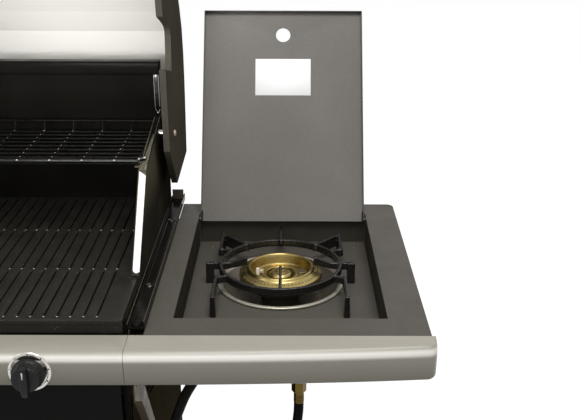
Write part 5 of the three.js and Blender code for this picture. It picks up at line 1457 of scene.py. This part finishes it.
foot_angles = [math.radians(angle) for angle in range(0, 91, 15)]
flange_outline = [
    (FLANGE_OUTER, 6), (FLANGE_OUTER, slope_length - 8), (FLANGE_INNER, slope_length - 1),
    *[(FLANGE_INNER + FOOT_ROUND * (1 - math.cos(a)), 10 - FOOT_ROUND * math.sin(a)) for a in foot_angles],
]
for side, mirror in SIDES:
    # Painted reflection: a thin white strip on the inward flange stands for the white that its enamel mirrors.
    trim = loft(
        f"flange_painted_reflection_{side}",
        [[on_slope(mirror, *spot, rise) for spot in flange_outline] for rise in (0.05, 0.9)],
        reflection_white, sharp=30,
    )
    soften(trim, 0.3 * MM, 2)
    own(trim, "trolley", "panel_enamel")
    # Painted highlight: a bright wire along the crest's edge.
    crest = [bench(mirror * (FLANGE_OUTER - 2.4), y, z + 0.5) for y, z in CREST]
    highlight_wire(f"crest_highlight_{side}", [crest], 1.7, bright_steel, "bright_steel")
    crest_strip(f"crest_cover_{side}", mirror, [(*spot, FLANGE_INNER, FLANGE_OUTER) for spot in CREST],
                0.1, 0.6, fire_enamel)
    # A paler strip along the front of the crest.
    crest_strip(f"crest_pale_{side}", mirror, [
        (200, 146, FLANGE_INNER, FLANGE_OUTER), (240, 153, FLANGE_INNER + 1.5, 352), (320, 168.4, 350, 351.5),
    ], 0.5, 0.8, tab_coat)
    # Painted highlight: a bright wire up the nose of the flange.
    nose = [bench(mirror * NOSE_X, NOSE_Y, z) for z in (20, 1)]
    highlight_wire(f"nose_highlight_{side}", [nose], 1.1, bright_steel, "bright_steel")

WALL_FACE = 424.3
WALL_TOP = 268
top_bar = [(0.2, 0), (-4, -1), (-6, -4), (-6, -18), (-4.6, -22.4), (0.2, -24)]
bar = loft(
    "wall_top_bar",
    [[bench(x, WALL_FACE + dy, WALL_TOP + dz) for dy, dz in top_bar] for x in (-349.5, 349.5)],
    fire_enamel, sharp=30,
)
soften(bar, 1 * MM, 3)
own(bar, "trolley", "panel_enamel")
HEM_INNER = 340
HEM_OUTER = 348
HEM_TOP = 246
for side, mirror in SIDES:
    # Painted highlights: bright wires along the hem's edges.
    hem_highlight_lines = [
        [bench(mirror * x, WALL_FACE - 1.6, z) for x, z in line]
        for line in (
            [(HEM_INNER, HEM_TOP), (HEM_INNER, 186), (345, 177), (348.6, 184)],
            [(HEM_OUTER, HEM_TOP), (HEM_OUTER, 190)],
        )
    ]
    highlight_wire(f"wall_hem_{side}", hem_highlight_lines, 2, bright_steel, "bright_steel")
    hem_low, hem_high = sorted((mirror * HEM_INNER, mirror * HEM_OUTER))
    web = blank(f"wall_hem_web_{side}", bench(hem_low, WALL_FACE - 2.4, 188),
                bench(hem_high, WALL_FACE + 0.2, HEM_TOP), gloss_enamel, 0.6 * MM)
    own(web, "trolley", "panel_enamel")
print("trim on the end panels and the wall")

# %% [markdown]
# ## Side rails
# Between the fire box and each shelf lies an enamelled channel. A long bead lies on its floor, with a ring
# boss and a screw at each end. A lip runs along each edge, with a thin paler wire on it as a painted
# highlight, and there is a tab at the back and a bump at the front.

# %% Beads, bosses and lips of the side rails
RAIL_FLOOR = 2.6
RAIL_MIDDLE = 367.8
RAIL_INNER = 356.9
RAIL_BACK = 467.1
BOSS_YS = (96, 356)
BUMP_Y = -24
for side, mirror in SIDES:
    x = mirror * RAIL_MIDDLE
    path = [bench(px, py, RAIL_FLOOR + 0.6) for px, py in slot_outline(x, 94.4, 355.6, 11.2, 14)]
    bead = curve_piece(f"rail_recess_{side}", [path], 1.5 * MM, gloss_enamel, closed=True, resolution=4)
    own(bead, "trolley", "panel_enamel")
    # Painted highlights: a thin paler wire along each lip.
    lip_highlights = [[bench(mirror * lip_x, y, z) for y in (-34, 466)] for lip_x, z in ((379, 12.2), (356.3, 8.2))]
    highlight_wire(f"rail_lip_highlight_{side}", lip_highlights, 1.1, cap_coat, "panel_enamel")
    tab = cut_plate(
        f"rail_tab_{side}",
        [[(0.2, 2.4), (19.8, 2.4), *rounded([(19.8, 14), (19.8, 20.4), (13, 20.4)], 5, 6), (0.2, 20.4)]],
        0.9, 0.2, tab_coat,
        Matrix.Translation(bench(mirror * RAIL_INNER, RAIL_BACK, 0))
        @ Matrix.Diagonal((mirror, 1, 1, 1)) @ Matrix.Rotation(math.radians(90), 4, "X"),
    )
    own(tab, "trolley", "panel_enamel")
    for number, y in enumerate(BOSS_YS, 1):
        boss = turned(
            f"rail_boss_{side}_{number}",
            rounded([(3.2, -0.1), (3.2, 1.2), (4.6, 2.4), (6.4, 2.4), (7.4, 1), (7.6, -0.1)], 0.8, 4),
            bench(x, y, RAIL_FLOOR), gloss_enamel, steps=48,
        )
        own(boss, "trolley", "panel_enamel")
        screw(f"rail_screw_{side}_{number}", bench(x, y, RAIL_FLOOR - 0.2), 5.6)
    bump = turned(
        f"rail_bump_{side}",
        rounded([(8.6, -0.1), (8, 3.4), (5, 5.6), (0, 6.2)], 2.5, 6),
        bench(x, BUMP_Y, RAIL_FLOOR), fire_enamel, steps=48,
    )
    own(bump, "trolley", "panel_enamel")
print("rails with a bead and two bosses each")

# %% [markdown]
# ## Warming rack
# The rack is welded from round wire: eight wires across, thirteen short ones under them that bend down to a
# lower front rod, a thicker frame and a raised lip at the back. Wires are curves with a round section, small
# beads stand for the welds, and pale dots on the wires are painted highlights. At its front corners the frame's
# ends and a clip reach the side panels.

# %% Weld the rack
RACK_SIDE = 339
RACK_FRONT = 232
RACK_BACK = 405
FRAME_WIRE = 6
THIN_WIRE = 3.6
FRAME_Z = 146.9
BAR_Z = FRAME_Z + 1
WIRE_Z = BAR_Z + 3.4
LIP_Z = WIRE_Z + 17
REAR_WIRE = 394.5
WIRE_PITCH = 21
LONG_WIRES = 8
CROSS_WIRES = 13
CROSS_PITCH = 50.2
wire_ys = [REAR_WIRE - index * WIRE_PITCH for index in range(LONG_WIRES)]
cross_xs = [(index - (CROSS_WIRES - 1) / 2) * CROSS_PITCH for index in range(CROSS_WIRES)]


def wire_paths(lines, radius=6):
    return [rounded([bench(*point) for point in line], radius * MM, 5) for line in lines]


frame_lines = [[(-RACK_SIDE, RACK_FRONT, WIRE_Z), (RACK_SIDE, RACK_FRONT, WIRE_Z)]]
for x in (-RACK_SIDE, RACK_SIDE):
    frame_lines.append([
        (x, RACK_FRONT - 0.4, WIRE_Z), (x, RACK_FRONT + 10, FRAME_Z), (x, RACK_BACK, FRAME_Z),
    ])
for mirror in (-1, 1):
    frame_lines.append([
        (mirror * (RACK_SIDE - 2), RACK_FRONT, WIRE_Z), (mirror * (RACK_SIDE + 3), RACK_FRONT, WIRE_Z + 4.4),
        (mirror * (RACK_SIDE + 12), RACK_FRONT, WIRE_Z + 4.4),
    ])
rack_enamel = Finish("rack_enamel", (17, 16, 14), roughness=0.3, specular=0.1)
rack_enamel.mottle(120, 0.2).vary_roughness(90, 0.24, 0.38)
rack_frame = curve_piece("rack_frame", wire_paths(frame_lines), FRAME_WIRE * MM, gloss_enamel, resolution=5)
own(rack_frame, "trolley", "panel_enamel", "warming_rack")
thin_lines = [[(-RACK_SIDE, y, WIRE_Z), (RACK_SIDE, y, WIRE_Z)] for y in wire_ys]
thin_lines.append([
    (-RACK_SIDE, RACK_BACK, FRAME_Z), (-RACK_SIDE, RACK_BACK, LIP_Z),
    (RACK_SIDE, RACK_BACK, LIP_Z), (RACK_SIDE, RACK_BACK, FRAME_Z),
])
thin_lines.append([
    (-RACK_SIDE + 2, RACK_FRONT + 4, FRAME_Z - 1), (RACK_SIDE - 2, RACK_FRONT + 4, FRAME_Z - 1),
])
for x in cross_xs:
    thin_lines.append([
        (x, RACK_FRONT - 1.5, FRAME_Z + 0.4), (x, RACK_FRONT + 6, BAR_Z), (x, REAR_WIRE, BAR_Z),
        (x, REAR_WIRE + 7, BAR_Z + 0.4), (x, RACK_BACK - 0.5, LIP_Z - 0.6),
    ])
rack_wires = curve_piece("rack_wires", wire_paths(thin_lines, 4), THIN_WIRE * MM, rack_enamel, resolution=4)
own(rack_wires, "trolley", "panel_enamel")


def beads(name, half_profile, glint_dots, finish, steps):
    """Round blobs of weld, or pale dots of painted highlight, from the upper half of their outline."""
    profile = [*half_profile, *[(radius, -height) for radius, height in reversed(half_profile[:-1])]]
    return [turned(name, profile, bench(*spot), finish, steps=steps, sharp=90) for spot in glint_dots]


welds = beads("weld", [(0, 1.7), (1.4, 1.2), (2.2, 0)], [
    (x + 2.2, y, z) for x in cross_xs
    for y, z in ((RACK_FRONT - 0.8, FRAME_Z + 2.2), (RACK_FRONT + 3, FRAME_Z + 0.4))
], rack_enamel, 12)
own(merge("rack_welds", welds), "trolley", "panel_enamel")
# Painted highlights: pale dots at each crossing and on the frame's corners.
glint_dots = []
for x in cross_xs:
    glint_dots += beads("spot", [(0, 0.8), (0.6, 0.5), (0.8, 0)], [
        (x, y - 0.6, WIRE_Z + THIN_WIRE / 2) for y in wire_ys
    ], glint_paint, 8)
    glint_dots += beads("spot", [(0, 1.5), (1.3, 0.9), (1.8, 0)], [
        (x, RACK_FRONT - 2.4, WIRE_Z + 1.6), (x, RACK_FRONT + 1.6, FRAME_Z + 0.6),
    ], glint_paint, 10)
for mirror in (-1, 1):
    glint_dots += beads("spot", [(0, 1.8), (1.5, 1.1), (2, 0)], [
        (mirror * (RACK_SIDE + 1), RACK_FRONT - 2.4, WIRE_Z + 4),
        (mirror * (RACK_SIDE + 10), RACK_FRONT - 2.4, WIRE_Z + 6.4),
    ], glint_paint, 10)
own(merge("rack_painted_glints", glint_dots), "trolley", "panel_enamel")
CLIP_LINE = ((331, 232, 156.4), (341, 232, 157), (347.4, 233, 152), (347.8, 236, 147.2))
for side, mirror in SIDES:
    clip_path = rounded([bench(mirror * x, y, z) for x, y, z in CLIP_LINE], 3 * MM, 5)
    clip = curve_piece(f"rack_clip_{side}", [clip_path], 3.4 * MM, rack_enamel, resolution=4)
    own(clip, "trolley", "panel_enamel")
print("rack of", len(thin_lines) + len(frame_lines), "wires")

# %% [markdown]
# ## The hood
# The hood has two skins: black enamel outside and brushed stainless inside, between cast end caps that turn
# on a pivot bolt each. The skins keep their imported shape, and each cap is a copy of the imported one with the
# back corner of its lobe raised. The handle is a fat tube on two posts with flared feet.

# %% Skins, caps and pivot bolts
dress("hood_outer_skin", hood_enamel, 0.5 * MM, 3)
dress("hood_inner_skin", hood_steel, 0.5 * MM, 3)

LOBE_CORNER_Y = 151.1
LOBE_CORNER_Z = 397.8
LOBE_EASE = 20
corner = bench(0, LOBE_CORNER_Y, LOBE_CORNER_Z)
for side in ("right", "left"):
    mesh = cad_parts[f"hood_cap_{side}"].data.copy()
    for vertex in mesh.vertices:
        if abs(vertex.co.y - corner.y) < MM and abs(vertex.co.z - corner.z) < MM:
            vertex.co.z += LOBE_EASE * MM
    cap = dress_piece(add(f"end_cap_{side}", mesh), cap_coat, 0.6 * MM, 3)
    own(cap, "hood", "cap_casting", f"hood_cap_{side}")
cap_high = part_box("hood_cap_right")[1]
PIVOT_Y = 343
PIVOT_Z = 164.5
SPACER = (354.9, 369.7)
NUT = (346.8, 352.6)
for side, mirror in SIDES:
    out = Vector((mirror, 0, 0))
    at = beside(mirror * cap_high[0], PIVOT_Y, PIVOT_Z)
    spacer_ends, nut_ends = (
        [bench(mirror * x, PIVOT_Y, PIVOT_Z) for x in ends] for ends in (SPACER, NUT)
    )
    washer = turned(
        f"pivot_washer_{side}", [(3.4, 0.25), (6.4, 0.25), (6.7, 0.6), (6.4, 1.2), (3.4, 1.2)],
        at, bracket_steel, axis=out, steps=40,
    )
    head = turned(
        "head", rounded([(0, 1.2), (5.2, 1.2), (5.2, 2.4), (4.6, 3.8), (2.8, 4.6), (0, 4.7)], 1, 5),
        at, bolt_steel, axis=out, steps=40,
    )
    shank = rod("shank", at - out * 33 * MM, at + out * 1 * MM, 7.8, bolt_steel)
    spacer = rod(f"pivot_spacer_{side}", *spacer_ends, 12, bright_steel, steps=32)
    nut = rod("nut", *nut_ends, 13, bolt_steel, steps=6, edge=0.8)
    own(washer, "trolley", "plated_steel")
    own(spacer, "trolley", "bright_steel")
    own(merge(f"pivot_bolt_{side}", [head, shank, nut]), "trolley", "brass", f"hood_pivot_bolt_{side}")
print("hood on two pivot bolts")

# %% Handle with its posts
handle_low, handle_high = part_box("hood_handle")
BAR_PLACE = Vector((0, -26.9, 1443.3)) * MM
BAR_RADIUS = 10.9
POST_X = 230 * MM
bar_half = handle_high[0] / MM
bar_profile = rounded([(0, 0), (BAR_RADIUS, 0), (BAR_RADIUS, 2 * bar_half), (0, 2 * bar_half)], 6, 6)
bar = turned("bar", bar_profile, BAR_PLACE - Vector((bar_half * MM, 0, 0)), bright_steel, axis=(1, 0, 0),
             steps=64)
posts = []
for side in (-1, 1):
    foot = Vector((side * POST_X, BAR_PLACE.y, handle_low[2]))
    post_profile = rounded([(0, 0.2), (7.9, 0.2), (7.9, 3), (5.6, 8), (5.4, 36), (6.4, 43)], 3, 5)
    posts.append(turned("post", post_profile, foot, bright_steel, steps=48))
own(merge("hood_handle_bar", [bar, *posts]), "hood", "bright_steel", "hood_handle")
print("handle", 2 * bar_half, "mm wide")

# %% [markdown]
# ## The heat dial
# A bimetal dial stands on the hood: a polished bezel, a pale card with a ring of ticks and plain numbers, a
# red needle and a domed glass. The hood is open here, so the dial's face points straight up.

# %% Build the dial
dial_low, dial_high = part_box("thermometer")
DIAL_RADIUS = 35
DIAL_DEPTH = 13.4
dial_place = Vector(((dial_low[0] + dial_high[0]) / 2, (dial_low[1] + dial_high[1]) / 2, dial_high[2]))
dial_place.z -= DIAL_DEPTH * MM
case = turned(
    "dial_case",
    rounded([
        (0, 0.1), (33, 0.1), (34.8, 2), (34.9, 10), (34, 13), (31.5, 13.3), (30.4, 12.2), (30.2, 9), (0, 9),
    ], 1.2, 5),
    dial_place, bright_steel, sharp=50,
)
stem = rod("stem", dial_place + UP * 1 * MM, dial_place - UP * 40 * MM, 5.8, bright_steel)
own(merge("dial_body", [case, stem]), "hood", "bright_steel", "thermometer")
card = turned("dial_card_face", [(0, 9.05), (30, 9.05), (30, 9.4), (0, 9.4)], dial_place, dial_card)
own(card, "hood", "bright_steel")


def on_dial(angle, radius, height):
    turn = math.radians(angle)
    return dial_place + Vector((math.cos(turn) * radius, math.sin(turn) * radius, height)) * MM


ticks = []
DIAL_TICKS = 31
DIAL_START = 225
DIAL_SWEEP = 270
NUMBER_RADIUS = 19
for step in range(DIAL_TICKS):
    angle = DIAL_START - DIAL_SWEEP * step / (DIAL_TICKS - 1)
    start, width = (24, 0.5) if step % 5 == 0 else (26, 0.3)
    bm = bmesh.new()
    side = (on_dial(angle + 90, 1, 0) - dial_place).normalized() * width * MM
    inner, outer = on_dial(angle, start, 9.5), on_dial(angle, 28, 9.5)
    bm.faces.new([bm.verts.new(p) for p in (inner - side, outer - side, outer + side, inner + side)])
    ticks.append(mesh_piece("tick", bm, dial_ink))
own(merge("dial_ticks", ticks), "hood", "bright_steel")
for step, number in enumerate(("50", "150", "250", "350")):
    name = f"dial_number_{number}"
    data = bpy.data.curves.new(name, "FONT")
    data.body = number
    data.size = 5.6 * MM
    data.align_x = "CENTER"
    data.align_y = "CENTER"
    data.extrude = 0.03 * MM
    data.materials.append(dial_ink.material)
    words = add(name, data)
    words.location = on_dial(DIAL_START - DIAL_SWEEP / 3 * step, NUMBER_RADIUS, 9.5)
    own(words, "hood", "bright_steel")
bm = bmesh.new()
tip, tail = on_dial(150, 23, 10.2), on_dial(330, 6, 10.2)
needle_points = [tip, on_dial(240, 1.3, 10.2), tail, on_dial(60, 1.3, 10.2)]
prism(bm, needle_points, [point + UP * 0.4 * MM for point in needle_points])
own(mesh_piece("dial_needle", bm, needle_red), "hood", "bright_steel")
boss = turned("dial_boss", [(0, 9.4), (2.6, 9.4), (2.4, 10.9), (0, 11.2)], dial_place, dial_ink, steps=32)
own(boss, "hood", "bright_steel")
glass = turned(
    "dial_window",
    [(0, 12.3), (15, 12.1), (30.1, 11.2), (30.1, 11.8), (15, 12.9), (0, 13.2)],
    dial_place, dial_glass,
)
own(glass, "hood", "bright_steel")
print("dial", 2 * DIAL_RADIUS, "mm with", DIAL_TICKS, "ticks")

# %% [markdown]
# ## Cabinet, doors and trolley
# The cabinet is folded sheet. Its imported nodes keep their shape and get enamel, soft edges and screws, and
# two dark slots of painted shade lie on each side. The doors carry a bent steel pull each, and the trolley
# stands on two wheels at one end and two legs at the other.

# %% Finish the cabinet
DRESSED = (
    (cabinet_enamel, ("cabinet_side_right", "cabinet_side_left")),
    (cabinet_coat, ("cabinet_floor", "back_panel", "front_rail", "leg_front", "leg_rear")),
    (plated_steel, ("drip_tray",)),
    (bracket_steel, ("shelf_bracket_right", "shelf_bracket_left")),
    (hood_enamel, ("door_right", "door_left")),
    (shade_darkened_brass, ("gas_manifold", "valve_stem_1", "valve_stem_2", "valve_stem_3", "valve_stem_4")),
    (bright_steel, ("wheel_axle",)),
)
DOOR_ROUND = 2.2 * MM
SHEET_ROUND = 0.8 * MM
for finish, names in DRESSED:
    for name in names:
        dress(name, finish, DOOR_ROUND if name.startswith("door") else SHEET_ROUND, 3)

SIDE_SCREWS = ((-24, -300), (-24, -560), (420, -300), (420, -560))
SIDE_SLOTS = ((84, -160), (112, -180))
SLOT_STRETCH = 9.5
SLOT_SLANT = math.radians(-12)
side_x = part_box("cabinet_side_right")[1][0]
for side, mirror in SIDES:
    # Turns a piece that lies flat so that it faces out of this side.
    face_out = Matrix(((0, 0, mirror, 0), (1, 0, 0, 0), (0, 1, 0, 0), (0, 0, 0, 1)))
    for number, spot in enumerate(SIDE_SCREWS, 1):
        screw(f"cabinet_screw_{side}_{number}", beside(mirror * side_x, *spot), axis=(mirror, 0, 0), rise=1.8)
    # Each slot is a flat dark disc of painted shade, stretched and slanted.
    slots = []
    for spot in SIDE_SLOTS:
        slot = turned("slot", [(0, -0.2), (2.3, -0.2), (2.3, 0.35), (2, 0.5), (0, 0.5)], (0, 0, 0), hole_shade,
                      steps=24)
        slot.data.transform(Matrix.Diagonal((SLOT_STRETCH, 1, 1, 1)))
        place = Matrix.Translation(beside(mirror * side_x, *spot))
        slot.data.transform(place @ Matrix.Rotation(SLOT_SLANT, 4, "X") @ face_out)
        slots.append(slot)
    own(merge(f"side_slots_{side}", slots), "trolley", "cabinet_enamel")
back_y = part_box("back_panel")[1][1]
for number, (x, z) in enumerate(((-300, -250), (300, -250), (-300, -700), (300, -700), (0, -250)), 1):
    spot = bench(x, 0, z)
    spot.y = back_y
    screw(f"back_screw_{number}", spot, axis=(0, 1, 0), rise=1.4)
print("cabinet dressed")

# %% Bend the door pulls
PULL_WIDTH = 11.8
PULL_BEND = 16
PULL_REACH = 6
PULL_INSET = 12
for side in ("right", "left"):
    low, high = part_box(f"door_handle_{side}")
    x = (low[0] + high[0]) / 2
    front, back = low[1] + PULL_REACH * MM, high[1] + 0.2 * MM
    top, foot = high[2] - PULL_INSET * MM, low[2] + PULL_INSET * MM
    line = rounded([(x, back, top), (x, front, top), (x, front, foot), (x, back, foot)], PULL_BEND * MM, 10)
    pull = curve_piece(f"door_pull_{side}", [line], PULL_WIDTH * MM, bright_steel, resolution=8)
    own(pull, f"door_{side}", "bright_steel", f"door_handle_{side}")
    for number, z in enumerate((top, foot), 1):
        rose = turned(
            f"pull_rose_{side}_{number}",
            rounded([(5.6, 0.3), (9, 0.3), (9, 1.2), (7, 2.4), (5.6, 2.6)], 0.6, 3),
            Vector((x, high[1], z)), bright_steel, axis=(0, -1, 0), steps=40,
        )
        own(rose, f"door_{side}", "bright_steel")
print("two pulls")

# %% Wheels and leg pads
RIB_WIDTH = 4.4
RIB_START = 14
RIB_END = 37
RIB_DEPTH = 24
for end, outward in (("front", -1), ("rear", 1)):
    low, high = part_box(f"wheel_{end}")
    middle = (Vector(low) + Vector(high)) / 2
    out = Vector((0, outward, 0))
    place = middle - out * (high[1] - low[1]) / 2
    tyre = turned(
        f"tyre_{end}",
        rounded([
            (37.2, 0.2), (44, 0.2), (49.9, 4), (49.9, 11), (49.2, 12), (49.2, 18), (49.9, 19), (49.9, 26),
            (44, 29.8), (37.2, 29.8),
        ], 1.6, 4),
        place, tyre_rubber, axis=out,
    )
    own(tyre, f"wheel_{end}", "wheel_plastic")
    ribs = [turned(
        "hub_wheel",
        rounded([
            (6.6, 0.4), (14, 0.4), (14, 6), (37.4, 6),
            (37.4, 24), (30, 24), (18, 26.5), (14, 29.6), (6.6, 29.6),
        ], 1.4, 4),
        place, wheel_plastic, axis=out, steps=72,
    )]
    for step in range(6):
        angle = math.pi * step / 3
        across = Vector((math.cos(angle), 0, math.sin(angle)))
        start, stop = (place + (out * RIB_DEPTH + across * reach) * MM for reach in (RIB_START, RIB_END))
        ribs.append(rod("rib", start, stop, RIB_WIDTH, wheel_plastic, steps=16))
    own(merge(f"wheel_hub_{end}", ribs), f"wheel_{end}", "wheel_plastic", f"wheel_{end}")
    low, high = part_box(f"leg_{end}")
    middle = (Vector(low) + Vector(high)) / 2
    pad = turned(f"leg_foot_{end}", rounded([(20.3, 14.2), (24, 10), (24, 2), (22, 0.05), (21, 0.05)], 2, 4),
                 Vector((middle.x, middle.y, low[2])), wheel_plastic, steps=64)
    own(pad, "trolley", "wheel_plastic")
print("two wheels and two legs")

# %% [markdown]
# ## Brackets under the shelves
# Four bolts join each bracket to the side of the cabinet.

# %% Bolts in the brackets
BRACKET_BOLTS = ((-22, -90), (60, -40), (380, -40), (-22, -40))
BRACKET_SHEET = 1.6
bracket_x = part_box("shelf_bracket_right")[0][0] + BRACKET_SHEET * MM
for side, mirror in SIDES:
    for number, spot in enumerate(BRACKET_BOLTS, 1):
        place = beside(mirror * bracket_x, *spot)
        screw(f"bracket_bolt_{side}_{number}", place, 9, axis=(mirror, 0, 0), rise=2.6)
print("bracket bolts in place")
